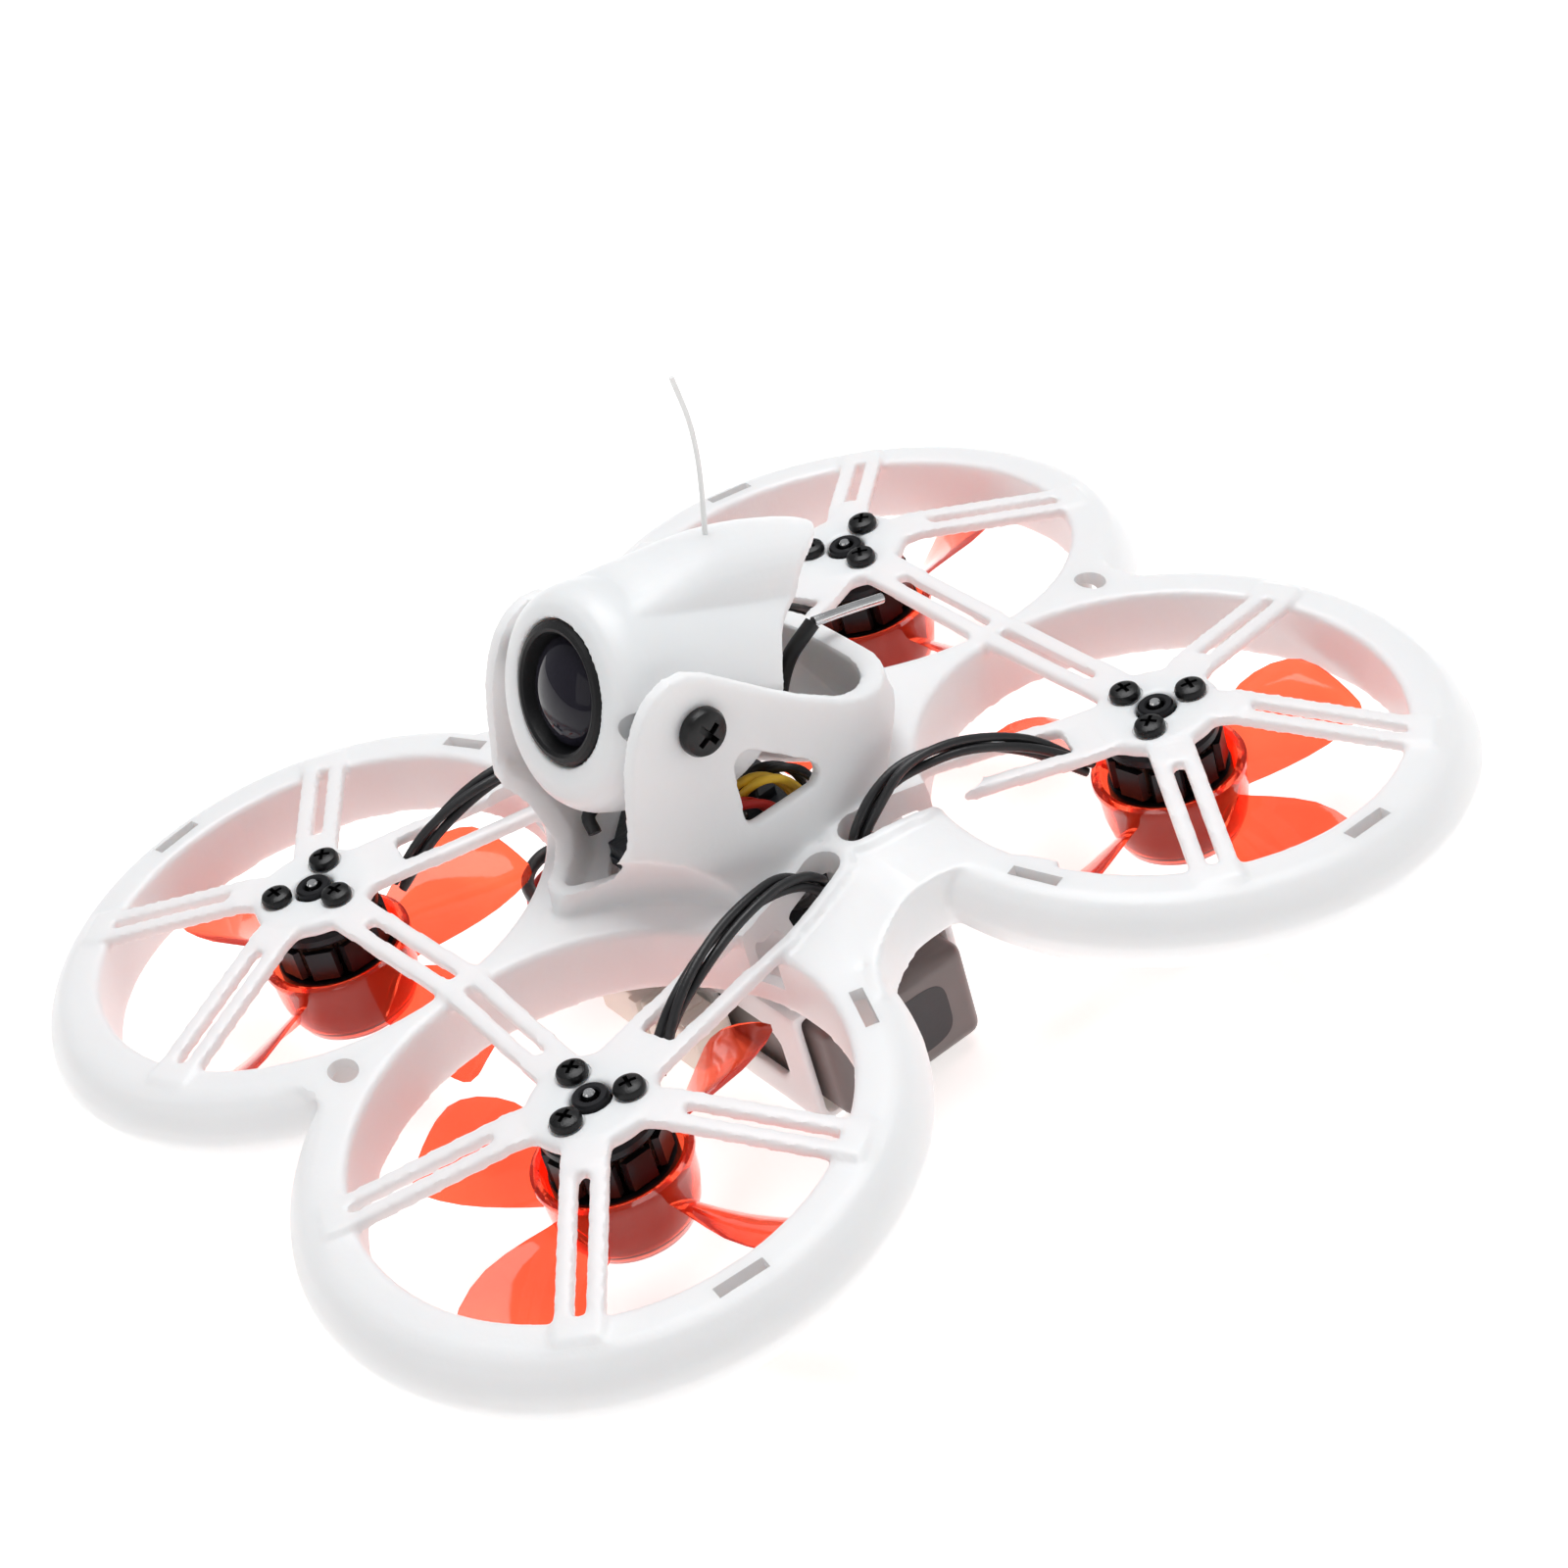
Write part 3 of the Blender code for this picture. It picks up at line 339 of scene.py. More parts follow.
# the skin between the ducts, with a round notch in each side
SKIN_WIDE, SKIN_LONG, NOTCH_PLACE, NOTCH_RADIUS = 52, 58, (33.4, 2.0), 9.3
nothing_selected()
bpy.ops.mesh.primitive_grid_add(x_subdivisions=SKIN_WIDE, y_subdivisions=SKIN_LONG, size=1)
skin = bpy.context.object
skin.name = "skin"
for vert in skin.data.vertices:
    x, y = vert.co.x * SKIN_WIDE, vert.co.y * SKIN_LONG
    vert.co = at(x, y, deck_top(x, y))
step = skin.modifiers.new("thickness", "SOLIDIFY")
step.thickness, step.offset = 1.4 * MM, -1.0
apply_all(skin)
if skin.data.polygons[0].normal.z < 0:
    skin.data.flip_normals()
for corner in CORNERS:
    carve(skin, lathe("duct_room", [(0, -15), (22.4, -15), (22.4, 15), (0, 15)], hub_place(corner), 64,
                      hollow=False))
for side in (-1, 1):
    centre = (side * NOTCH_PLACE[0], NOTCH_PLACE[1])
    carve(skin, lathe("side_notch", [(0, -6), (NOTCH_RADIUS, -6), (NOTCH_RADIUS, 9), (0, 9)], centre, 48,
                      hollow=False))
    # a short skirt hangs from the notch's edge, above the battery's end
    skirt = lathe("side_skirt", [(NOTCH_RADIUS, -5.6), (10.2, -5.6), (10.6, -0.4), (10.4, 0.0), (9.6, 0.0),
                                 (NOTCH_RADIUS, -0.4)], centre, 72)
    carve(skirt, slab("outer_half", [at(side * 30.2, y, z) for y,
                                     z in ((-12, -9), (16, -9), (16, 3), (-12, 3))],
                      Vector((side * 30, 0, 0))))
    lift_by(skirt, deck_top)
    moulding.append(skirt)
board_hole = [(0, -13.2), (4.4, -9.6), (8.4, -5.2), (9.6, -1), (9.6, 4), (7.6, 6.6), (4.0, 10.4), (0, 12.4),
              (-4.0, 10.4), (-7.6, 6.6), (-9.6, 4), (-9.6, -1), (-8.4, -5.2), (-4.4, -9.6)]
carve(skin, slab("board_hole", [at(x, y, -8) for x, y in board_hole], Vector((0, 0, 20))))
moulding.append(skin)


def rounded_slot(start, end, radius, low):
    """The outline of a slot with round ends."""
    a, b = Vector(start), Vector(end)
    heading = math.atan2(b.y - a.y, b.x - a.x)
    return [at(c.x + radius * math.cos(heading + math.radians(base + 20 * k)),
               c.y + radius * math.sin(heading + math.radians(base + 20 * k)), low)
            for c, base in ((b, -90), (a, 90)) for k in range(10)]


# the skin is raised in a collar along the slots that take the motor leads
for side in (-1, 1):
    for start, end in (((side * 17.9, -12.4), (side * 15.4, -1.5)),
                       ((side * 16.4, 13.4), (side * 14.5, 3.4))):
        a, b = Vector((*start, 0)), Vector((*end, 0))
        for k in range(4):
            spot = a.lerp(b, 0.55 + 0.15 * k)
            moulding.append(lathe("slot_collar", [(1.75, -2), (2.75, -2), (2.75, 0.35), (2.25, 0.6),
                                                  (1.75, 0.4)],
                                  (spot.x, spot.y), 32))
            lift_by(moulding[-1], deck_top)
        pockets.append(slab("lead_slot", rounded_slot(start, end, 1.75, -3), Vector((0, 0, 12))))


# the camera cradle: two ears with a window each, a low lip in front and a broad lip behind
def rounded_row(half, front, back, nose, tail, height):
    """A level outline with nose as its front corners' radius and tail as its rear ones'."""
    return [at(cx + size * math.cos(math.radians(a)), cy + size * math.sin(math.radians(a)), height)
            for cx, cy, size, first in ((half - tail, back - tail, tail, 0),
                                        (tail - half, back - tail, tail, 90),
                                        (nose - half, front + nose, nose, 180),
                                        (half - nose, front + nose, nose, 270))
            for a in range(first, first + 91, 9)]


WALL = 1.4                             # the cradle's wall in front and where it sweeps into the ducts
levels = [(12.9, -19.4, 17.0, 4.0, 7.0, -1.0), (12.6, -18.6, 16.4, 4.0, 7.2, 3.2),
          (12.0, -17.2, 15.4, 3.5, 7.4, 6.2), (11.5, -16.3, 15.0, 3.0, 7.6, 9.0),
          (11.25, -16.0, 15.0, 2.2, 7.6, 12.0), (11.25, -16.0, 15.0, 2.2, 7.6, 26.0)]
sweep = [(24.2, -8.0), (24.2, 3.0), (23.4, 5.0), (21.6, 7.6), (19.2, 10.0), (16.0, 12.4)]
cradle = loft("cradle", [rounded_row(*level) for level in levels])
hollow = loft("hollow", [rounded_row(half - 1.45, front + WALL, back - 2.2, max(nose - WALL, 0.8),
                                     tail - WALL, height)
                         for (half, front, back, nose, tail, _), height in
                         zip(levels, (-4.0, 3.2, 6.2, 9.0, 12.0, 30.0))])
for corner in CORNERS:
    for solid, extra in ((cradle, 0.0), (hollow, WALL)):
        rise = [(0, -8)] + [(radius + extra, height) for radius, height in sweep] + [(0, 12.4)]
        carve(solid, lathe("duct_sweep", rise, hub_place(corner), 64, hollow=False))
carve(cradle, hollow)
ear_view = [(-24, -3), (-24, 5), (-17.2, 7.8), (-15.6, 10.4), (-14.8, 12.6), (-14.2, 15.2), (-13.4, 18.0),
            (-12.3, 20.4), (-10.9, 22.3), (-9.3, 23.4), (-7.6, 23.9), (-5.8, 23.6), (-4.0, 22.4),
            (-1.8, 20.4), (0.4, 18.3), (3.8, 15.3), (7.3, 12.8), (9.4, 11.8), (11.6, 11.1), (14.8, 10.6),
            (20, 9.8), (20, -3)]
carve(cradle, slab("ear_view", [at(-20, y, z) for y, z in ear_view], Vector((40, 0, 0))), "INTERSECT")
mouth = [(-9.8, 32), (-9.8, 11.4), (-8.6, 9.6), (-6.4, 7.1), (-4.4, 5.2), (-2.6, 4.3), (0, 4.0), (2.6, 4.3),
         (4.4, 5.2), (6.4, 7.1), (8.6, 9.6), (9.8, 11.4), (9.8, 32)]
carve(cradle, slab("mouth", [at(x, -30, z) for x, z in mouth], Vector((0, 21, 0))))
carve(cradle, slab("under_skin", [at(x, y, -6) for x, y in ((-20, -24), (20, -24), (20, 24), (-20, 24))],
                   Vector((0, 0, 6.9))))
window = [(-4.1, 13.4), (-3.3, 14.0), (-2.3, 13.7), (2.4, 9.7), (3.1, 8.7), (3.1, 7.9), (2.3, 7.2),
          (-4.0, 7.2), (-4.8, 7.9)]
carve(cradle, slab("window", [at(-20, y, z) for y, z in window], Vector((40, 0, 0))))
moulding.append(cradle)


def ear_cut(name, x, radius, corners, push):
    """A round cut into an ear about the camera's pivot line."""
    turns = [2 * math.pi * k / corners for k in range(corners)]
    rim = [at(x, PIVOT[1] + radius * math.cos(t), PIVOT[2] + radius * math.sin(t)) for t in turns]
    pockets.append(slab(name, rim, Vector((push, 0, 0))))


PIVOT = (0.0, -6.3, 18.5)
for side in (-1, 1):
    ear_cut("screw_bore", side * 8.0, 1.15, 24, side * 8)
    ear_cut("screw_dish", side * 10.95, 2.9, 32, side * 4)

# the battery bay: a thin sleeve hung from two struts
bay = slab("bay", [at(x, -9.2, z) for x, z in ((-17, -20.2), (17, -20.2), (17, -8.2), (-17, -8.2))],
           Vector((0, 17.6, 0)))
carve(bay, slab("bay_room", [at(-19, y, z) for y, z in ((-8.3, -19.45), (7.5, -19.45), (7.5, -8.95),
                                                        (-8.3, -8.95))],
                Vector((38, 0, 0))))
for side in (-1, 1):
    carve(bay, slab("floor_window", [at(side * 8.5 + x, y, -22) for x, y in
                                     ((-5, -3.6), (-3.6, -5), (3.6, -5), (5, -3.6),
                                      (5, 3.6), (3.6, 5), (-3.6, 5), (-5, 3.6))], Vector((0, 0, 4))))
    carve(bay, slab("wall_window", [at(side * 8.5 + x, -12, z) for x, z in
                                    ((-5, -15.8), (-3.8, -17), (3.8, -17), (5, -15.8), (5, -12.7),
                                     (3.8, -11.5), (-3.8, -11.5), (-5, -12.7))], Vector((0, 24, 0))))
    moulding.append(slab("strut", [at(side * 12.7, y, -8.6) for y in (0.15, 1.25)] +
                         [at(side * 16.2, y, -8.6) for y in (1.25, 0.15)], Vector((0, 0, 10.4))))
moulding.append(bay)

MOST_TRIANGLES = 190000                # a finished piece stays a little under 200,000
body = join_up("frame_moulding", moulding)
melt(body, 0.29, 5, 1.0)
carve(body, join_up("pockets", pockets))
step = body.modifiers.new("thin_out", "DECIMATE")
step.ratio = min(1.0, MOST_TRIANGLES / (2 * len(body.data.polygons)))
apply_all(body)
smooth_by(body, 38)


def grain_group():
    """The fine unevenness of a moulded or coated surface: two shades, two roughnesses and a grain bump."""
    group = bpy.data.node_groups.new("surface_grain", "ShaderNodeTree")
    for name, kind in (("Shade A", "NodeSocketColor"), ("Shade B", "NodeSocketColor"),
                       ("Cloud Scale", "NodeSocketFloat"), ("Grain Scale", "NodeSocketFloat"),
                       ("Rough Low", "NodeSocketFloat"), ("Rough High", "NodeSocketFloat"),
                       ("Grain Depth", "NodeSocketFloat")):
        group.interface.new_socket(name, in_out="INPUT", socket_type=kind)
    for name, kind in (("Color", "NodeSocketColor"), ("Roughness", "NodeSocketFloat"),
                       ("Normal", "NodeSocketVector")):
        group.interface.new_socket(name, in_out="OUTPUT", socket_type=kind)
    make, link = group.nodes.new, group.links.new
    inside, outside = make("NodeGroupInput"), make("NodeGroupOutput")
    place = make("ShaderNodeTexCoord")
    cloud, grain = make("ShaderNodeTexNoise"), make("ShaderNodeTexNoise")
    cloud.inputs["Detail"].default_value, grain.inputs["Detail"].default_value = 3.0, 2.0
    mix, span, bump = make("ShaderNodeMix"), make("ShaderNodeMapRange"), make("ShaderNodeBump")
    mix.data_type = "RGBA"
    bump.inputs["Distance"].default_value = 0.00012
    link(place.outputs["Object"], cloud.inputs["Vector"])
    link(place.outputs["Object"], grain.inputs["Vector"])
    link(inside.outputs["Cloud Scale"], cloud.inputs["Scale"])
    link(inside.outputs["Grain Scale"], grain.inputs["Scale"])
    link(cloud.outputs["Fac"], mix.inputs["Factor"])
    link(inside.outputs["Shade A"], mix.inputs["A"])
    link(inside.outputs["Shade B"], mix.inputs["B"])
    link(cloud.outputs["Fac"], span.inputs["Value"])
    span.inputs["From Min"].default_value, span.inputs["From Max"].default_value = 0.3, 0.7
    link(inside.outputs["Rough Low"], span.inputs["To Min"])
    link(inside.outputs["Rough High"], span.inputs["To Max"])
    link(grain.outputs["Fac"], bump.inputs["Height"])
    link(inside.outputs["Grain Depth"], bump.inputs["Strength"])
    link(mix.outputs["Result"], outside.inputs["Color"])
    link(span.outputs["Result"], outside.inputs["Roughness"])
    link(bump.outputs["Normal"], outside.inputs["Normal"])
    return group


surface_grain = grain_group()


def grained(name, shade_a, shade_b, rough, cloud=60.0, grain=2500.0, depth=0.1, **shader_values):
    """A material whose colour, roughness and bump come from the surface grain."""
    mat = bpy.data.materials.new(name)
    mat.use_nodes = True
    nodes, links = mat.node_tree.nodes, mat.node_tree.links
    shader = nodes["Principled BSDF"]
    effect = nodes.new("ShaderNodeGroup")
    effect.node_tree = surface_grain
    effect.inputs["Shade A"].default_value, effect.inputs["Shade B"].default_value = (*shade_a,
                                                                                      1), (*shade_b, 1)
    effect.inputs["Rough Low"].default_value, effect.inputs["Rough High"].default_value = rough
    effect.inputs["Cloud Scale"].default_value, effect.inputs["Grain Scale"].default_value = cloud, grain
    effect.inputs["Grain Depth"].default_value = depth
    links.new(effect.outputs["Color"], shader.inputs["Base Color"])
    links.new(effect.outputs["Roughness"], shader.inputs["Roughness"])
    links.new(effect.outputs["Normal"], shader.inputs["Normal"])
    for socket, value in shader_values.items():
        shader.inputs[socket.replace("_", " ")].default_value = value
    return mat


def dress(obj, mat, slot, body_name, *nodes):
    """Give a finished piece its material and the body it rides on; the slot argument is not used."""
    obj.data.materials.clear()
    obj.data.materials.append(mat)
    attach(obj, body_name)
    if nodes:
        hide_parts(*nodes)


white_moulding = grained("white_moulding", (0.93, 0.925, 0.93), (0.955, 0.945, 0.945), (0.32, 0.46),
                         depth=0.12, Subsurface_Weight=0.35, Subsurface_Radius=(0.004, 0.003, 0.0026),
                         Subsurface_Scale=1.0)
dress(body, white_moulding, "frame_white", "frame", "deck", "camera_pod", "battery_bay",
      *["duct_" + c for c in CORNERS], *["motor_mount_" + c for c in CORNERS])


# ---------------------------------------------------------------- propellers
# Four-bladed propellers moulded in clear red polycarbonate. Each has a deep cup that presses over the
# motor's bell from below; the blades spring from the cup and are thinned towards the tips.
blade_phase = {"front_left": 23, "front_right": 10, "rear_left": 2, "rear_right": 20}
BLADE_LEVEL = -8.2                     # the height that the blades turn at
# radius, chord, pitch in degrees and how far the blade is swept, from root to tip; then the outline of
# its section as (place along the chord, height)
blade_plan = [(5.7, 5.2, 50, 0.0), (7.2, 5.9, 46, 0.2), (9.0, 7.0, 42, 0.4), (11.0, 8.1, 38, 0.6),
              (13.0, 9.0, 34, 0.7), (15.0, 9.4, 31, 0.6), (17.0, 9.3, 28, 0.4), (18.6, 8.7, 25, 0.1),
              (19.5, 7.6, 24, -0.2), (19.95, 5.6, 23.5, -0.4)]
wing = [(-0.5, 0.02), (-0.42, 0.30), (-0.25, 0.62), (0.0, 0.80), (0.25, 0.66), (0.42, 0.36), (0.5, 0.02),
        (0.42, 0.02), (0.25, 0.20), (0.0, 0.28), (-0.25, 0.18), (-0.42, 0.0)]
# the faint red emission on the blades is a painted glow, standing in for light shining through the clear
# plastic
clear_red = grained("clear_red", (1.0, 0.085, 0.035), (1.0, 0.17, 0.075), (0.04, 0.12), cloud=90, grain=900,
                    depth=0.05, Transmission_Weight=0.93, IOR=1.14, Coat_Weight=0.5, Coat_Roughness=0.06,
                    Emission_Color=(1.0, 0.04, 0.01, 1.0), Emission_Strength=0.06)
for corner, (side, row) in CORNERS.items():
    twist = side * row
    cup = lathe("propeller", [(0, -12.5), (2.6, -12.45), (4.3, -12.1), (5.4, -11.2), (6.05, -9.8),
                              (6.4, -8.0), (6.55, -5.4), (6.85, -4.75), (6.8, -4.35), (6.4, -4.2),
                              (6.0, -4.35), (5.85, -5.2), (5.75, -9.6), (5.0, -11.1), (3.8, -11.75),
                              (0, -11.9)], (0, 0), 72, hollow=False)
    for k in range(4):
        spin = Matrix.Rotation(math.radians(blade_phase[corner] + 90 * k), 3, "Z")
        rows = []
        for radius, chord, pitch, sweep_by in blade_plan:
            tilt = math.radians(pitch) * twist
            thin = 1.15 - 0.03 * radius
            rows.append([at(*(spin @ Vector((
                radius,
                sweep_by * twist + chord * a * math.cos(tilt) - (b - 0.25) * thin * math.sin(tilt),
                chord * a * math.sin(tilt) + (b - 0.25) * thin * math.cos(tilt) + BLADE_LEVEL)))) for a,
                b in wing])
        carve(cup, loft("blade", rows), "UNION")
    cup.data.transform(Matrix.Translation(Vector((*hub_place(corner), 0)) * MM))
    cup.name = "propeller_clear_" + corner
    dress(smooth_by(cup, 40), clear_red, "prop_red", "prop_" + corner, "propeller_" + corner)


# ---------------------------------------------------------------- motors
# Tiny brushless motors hang upside down under the motor plates: a black base with nine wound teeth
# stays still, and a black anodised bell with its steel shaft turns inside the propeller's cup.
def round_edges(obj, width, segments=2, angle=35):
    """Round the edges that are sharper than the angle."""
    step = obj.modifiers.new("round_edges", "BEVEL")
    step.width, step.segments = width * MM, segments
    step.limit_method, step.angle_limit = "ANGLE", math.radians(angle)
    return apply_all(obj)


def twin(obj, name, matrix):
    """A copy with its own mesh, moved into place."""
    copy = obj.copy()
    copy.data = obj.data.copy()
    copy.name = name
    bpy.context.scene.collection.objects.link(copy)
    copy.data.transform(matrix)
    return copy


black_anodised = grained("black_anodised", (0.012, 0.012, 0.014), (0.03, 0.03, 0.033), (0.28, 0.42),
                         cloud=200, grain=6000, depth=0.08, Metallic=0.75)
enamelled_coil = grained("enamelled_coil", (0.05, 0.025, 0.018), (0.11, 0.05, 0.03), (0.22, 0.38),
                         cloud=900, grain=9000, depth=0.7, Metallic=0.4)
ground_steel = grained("ground_steel", (0.62, 0.62, 0.63), (0.8, 0.8, 0.8), (0.16, 0.3), cloud=400,
                       grain=5000, depth=0.1, Metallic=1.0)
core = lathe("core", [(0.8, -8.0), (3.0, -8.0), (3.0, -1.2), (4.9, -1.0), (5.05, -0.75), (5.0, -0.2),
                      (4.5, 0.3), (1.55, 0.3), (1.55, 2.15), (1.4, 2.3), (0.95, 2.3), (0.8, 2.15)], (0, 0),
                      56)
TEETH, coils = 9, []
for k in range(TEETH):
    turn = Matrix.Rotation(2 * math.pi * k / TEETH, 4, "Z")
    tooth = slab("tooth", [at(4.55, -1.45, -4.35), at(5.1, -1.2, -4.35), at(5.1, 1.2, -4.35),
                           at(4.55, 1.45, -4.35)],
                 Vector((0, 0, 2.9)))
    neck = slab("tooth_neck", [at(2.6, -0.5, -4.1), at(4.7, -0.5, -4.1), at(4.7, 0.5, -4.1),
                               at(2.6, 0.5, -4.1)], Vector((0, 0, 2.5)))
    tooth = join_up("tooth", [tooth, neck])
    tooth.data.transform(turn)
    coil = slab("coil", [at(3.0, -1.05, -4.9), at(4.35, -1.25, -4.9), at(4.35, 1.25, -4.9),
                         at(3.0, 1.05, -4.9)], Vector((0, 0, 3.9)))
    round_edges(coil, 0.45, 3, 30)
    coil.data.transform(turn)
    coils.append(coil)
    core = join_up("core", [core, tooth])
smooth_by(core, 35)
windings = smooth_by(join_up("windings", coils), 50)
bell = lathe("bell", [(0.8, -11.6), (3.9, -11.6), (4.7, -11.3), (5.3, -10.6), (5.45, -10.0), (5.45, -4.9),
                      (5.35, -4.7), (4.9, -4.7), (4.8, -4.9), (4.8, -8.4), (4.6, -8.6), (0.8, -8.6)],
                      (0, 0), 64)
smooth_by(bell, 35)
shaft = smooth_by(lathe("shaft", [(0, -11.3), (0.45, -11.3), (0.5, -11.2), (0.5, 2.45), (0.4, 2.6),
                                  (0, 2.6)], (0, 0), 32,
                        hollow=False), 30)
for corner in CORNERS:
    home = Matrix.Translation(Vector((*hub_place(corner), 0)) * MM)
    dress(twin(core, "motor_base_" + corner, home), black_anodised, "black_metal", "frame",
          "motor_stator_" + corner)
    dress(twin(windings, "motor_windings_" + corner, home), enamelled_coil, "black_metal", "frame")
    dress(twin(bell, "motor_can_" + corner, home), black_anodised, "black_metal", "prop_" + corner,
          "motor_bell_" + corner)
    dress(twin(shaft, "motor_pin_" + corner, home), ground_steel, "bright_steel", "prop_" + corner,
          "motor_shaft_" + corner)
for used in (core, windings, bell, shaft):
    bpy.data.objects.remove(used)

# ---------------------------------------------------------------- screws
# Black oxide pan-head screws with a cross recess hold the motors, three to a plate; two bigger ones
# clamp the camera between the ears and are its pivot.
black_oxide = grained("black_oxide", (0.01, 0.01, 0.011), (0.03, 0.03, 0.03), (0.25, 0.4), cloud=500,
                      grain=7000, depth=0.15, Metallic=0.6)


def pan_head(name, shank, head, low, base, rise):
    """A pan-head screw standing upright: shank radius, head radius, tip, seat and head height."""
    screw = lathe(name, [(0, low), (shank, low), (shank, base), (head * 0.95, base),
                         (head, base + 0.12 * rise), (head, base + 0.45 * rise),
                         (head * 0.9, base + 0.75 * rise), (head * 0.66, base + 0.94 * rise),
                         (head * 0.3, base + rise), (0, base + rise)], (0, 0), 40, hollow=False)
    long, wide = head * 0.55, head * 0.13
    for a, b in ((long, wide), (wide, long)):
        carve(screw, slab("cross", [at(x * a, y * b, base + 0.35 * rise) for x,
                                    y in ((-1, -1), (1, -1), (1, 1), (-1, 1))],
                          Vector((0, 0, 3 * rise))))
    return smooth_by(screw, 32)


SCREW_SINK = -0.12                     # the heads sit this far down in their countersinks
small_screw = pan_head("small_screw", 0.5, 1.36, 0.8, 2.2, 0.95)
for corner, (side, row) in CORNERS.items():
    for number, angle in enumerate(screw_angles):
        home = Matrix.Translation(Vector((*screw_place(corner, angle), SCREW_SINK)) * MM)
        tag = "%s_%d" % (corner, number + 1)
        turned = home @ Matrix.Rotation(0.7 * number + side + 0.4 * row, 4, "Z")
        piece = twin(small_screw, "plate_screw_" + tag, turned)
        dress(piece, black_oxide, "screw_black", "frame", "motor_screw_" + tag)
bpy.data.objects.remove(small_screw)
big_screw = pan_head("big_screw", 0.75, 2.15, 8.0, 11.3, 1.35)
big_screw.data.transform(Matrix.Translation((0, 0, -DUCT_PLANE * MM)))
for side, tag in ((1, "left"), (-1, "right")):
    home = Matrix.Translation(at(*PIVOT)) @ Matrix.Rotation(math.radians(90 * side), 4,
                                                            "Y") @ Matrix.Rotation(0.5, 4, "Z")
    dress(twin(big_screw, "tilt_screw_" + tag, home), black_oxide, "screw_black", "camera",
          "pivot_screw_" + tag)
bpy.data.objects.remove(big_screw)


# ---------------------------------------------------------------- motor leads
# Three thin silicone-covered leads per motor come up between the bars of a spoke, arch over the skin
# and dive through its slot to the main board. They are soldered at both ends.
def easy_curve(points, per_span=6):
    """Points along a smooth curve through the given places."""
    pts = [Vector(p) for p in points]
    pts = [2 * pts[0] - pts[1]] + pts + [2 * pts[-1] - pts[-2]]
    path = []
    for a, b, c, d in zip(pts, pts[1:], pts[2:], pts[3:]):
        for k in range(per_span):
            t = k / per_span
            bend, swing = 2 * a - 5 * b + 4 * c - d, 3 * b - a - 3 * c + d
            path.append(0.5 * (2 * b + (c - a) * t + bend * t * t + swing * t ** 3))
    return path + [pts[-2]]


def wire(name, path, radius, sides=3):
    """A round wire with closed ends; the path is in metres and the radius in millimetres."""
    curve = bpy.data.curves.new(name, "CURVE")
    curve.dimensions, curve.use_fill_caps = "3D", True
    curve.bevel_depth, curve.bevel_resolution = radius * MM, sides
    spline = curve.splines.new("POLY")
    spline.points.add(len(path) - 1)
    for point, place in zip(spline.points, path):
        point.co = (*place, 1.0)
    obj = bpy.data.objects.new(name, curve)
    bpy.context.scene.collection.objects.link(obj)
    nothing_selected()
    obj.select_set(True)
    bpy.context.view_layer.objects.active = obj
    bpy.ops.object.convert(target="MESH")
    bpy.ops.object.mode_set(mode="EDIT")
    return smooth_by(close_up(bpy.context.object), 50)


silicone_black = grained("silicone_black", (0.012, 0.012, 0.013), (0.03, 0.03, 0.032), (0.3, 0.45),
                         cloud=300, grain=4000, depth=0.2)
silicone_red = grained("silicone_red", (0.55, 0.012, 0.01), (0.72, 0.03, 0.02), (0.3, 0.45), cloud=300,
                       grain=4000, depth=0.2)
lead_routes = {-1: [(19.9, -23.6, -1.6), (18.9, -19.4, 2.4), (17.5, -13.4, 4.6), (16.3, -7.4, 4.5),
                    (15.8, -3.8, 3.0), (15.4, -1.8, 0.2), (12.2, -1.9, -2.6), (8.6, -1.2, -4.6)],
               1: [(19.3, 24.1, -1.6), (17.6, 19.6, 2.8), (15.9, 14.2, 5.6), (15.0, 9.4, 6.2),
                   (14.6, 6.2, 4.9), (14.3, 3.6, 2.4), (13.4, 3.0, -1.0), (10.6, 3.4, -3.4),
                   (7.2, 4.0, -4.6)]}
TWIST_STEP, STRAND_RADIUS = 7.5, 0.42  # a bundle's turn at each point in degrees; a lead's radius
for corner, (side, row) in CORNERS.items():
    spine = easy_curve([at(side * x, y, z) for x, y, z in lead_routes[row]])
    strands = []
    for k in range(3):
        path = []
        for n, place in enumerate(spine):
            ahead = (spine[min(n + 1, len(spine) - 1)] - spine[max(n - 1, 0)]).normalized()
            across = ahead.cross(Vector((0, 0, 1))).normalized()
            above = across.cross(ahead)
            turn = math.radians(120 * k + TWIST_STEP * n * side)
            loose = 0.56 + 0.10 * math.sin(0.35 * n + 2.1 * k)
            path.append(place + (across * math.cos(turn) + above * math.sin(turn)) * loose * MM)
        strands.append(wire("strand", path, STRAND_RADIUS))
    dress(join_up("lead_bundle_" + corner, strands), silicone_black, "lead_black", "frame",
          "motor_leads_" + corner)


# ---------------------------------------------------------------- camera shroud
# A white moulded barrel with a raised hood along its top shields the camera. Its sides are slotted for
# the two screws that hold it between the ears.
TILT, BARREL_SAG, HALF_WIDTH = math.radians(24.0), -0.7, 9.5      # the barrel sits low and has flat sides
to_pivot, from_plane = Matrix.Translation(at(*PIVOT)), Matrix.Translation((0, 0, -DUCT_PLANE * MM))
lie_down = to_pivot @ Matrix.Rotation(-TILT, 4, "X") @ from_plane
along_lens = to_pivot @ Matrix.Rotation(-TILT - math.pi / 2, 4, "X") @ from_plane


def lens_turned(name, profile, steps, hollow=False):
    """A piece turned round the lens axis; heights run backwards from the pivot."""
    piece = lathe(name, profile, (0, 0), steps, hollow)
    piece.data.transform(along_lens)
    return piece


def side_cut(name, outline, half):
    """A slab across the camera, drawn in side view."""
    piece = slab(name, [at(-half, y, z) for y, z in outline], Vector((2 * half, 0, 0)))
    piece.data.transform(lie_down)
    return piece


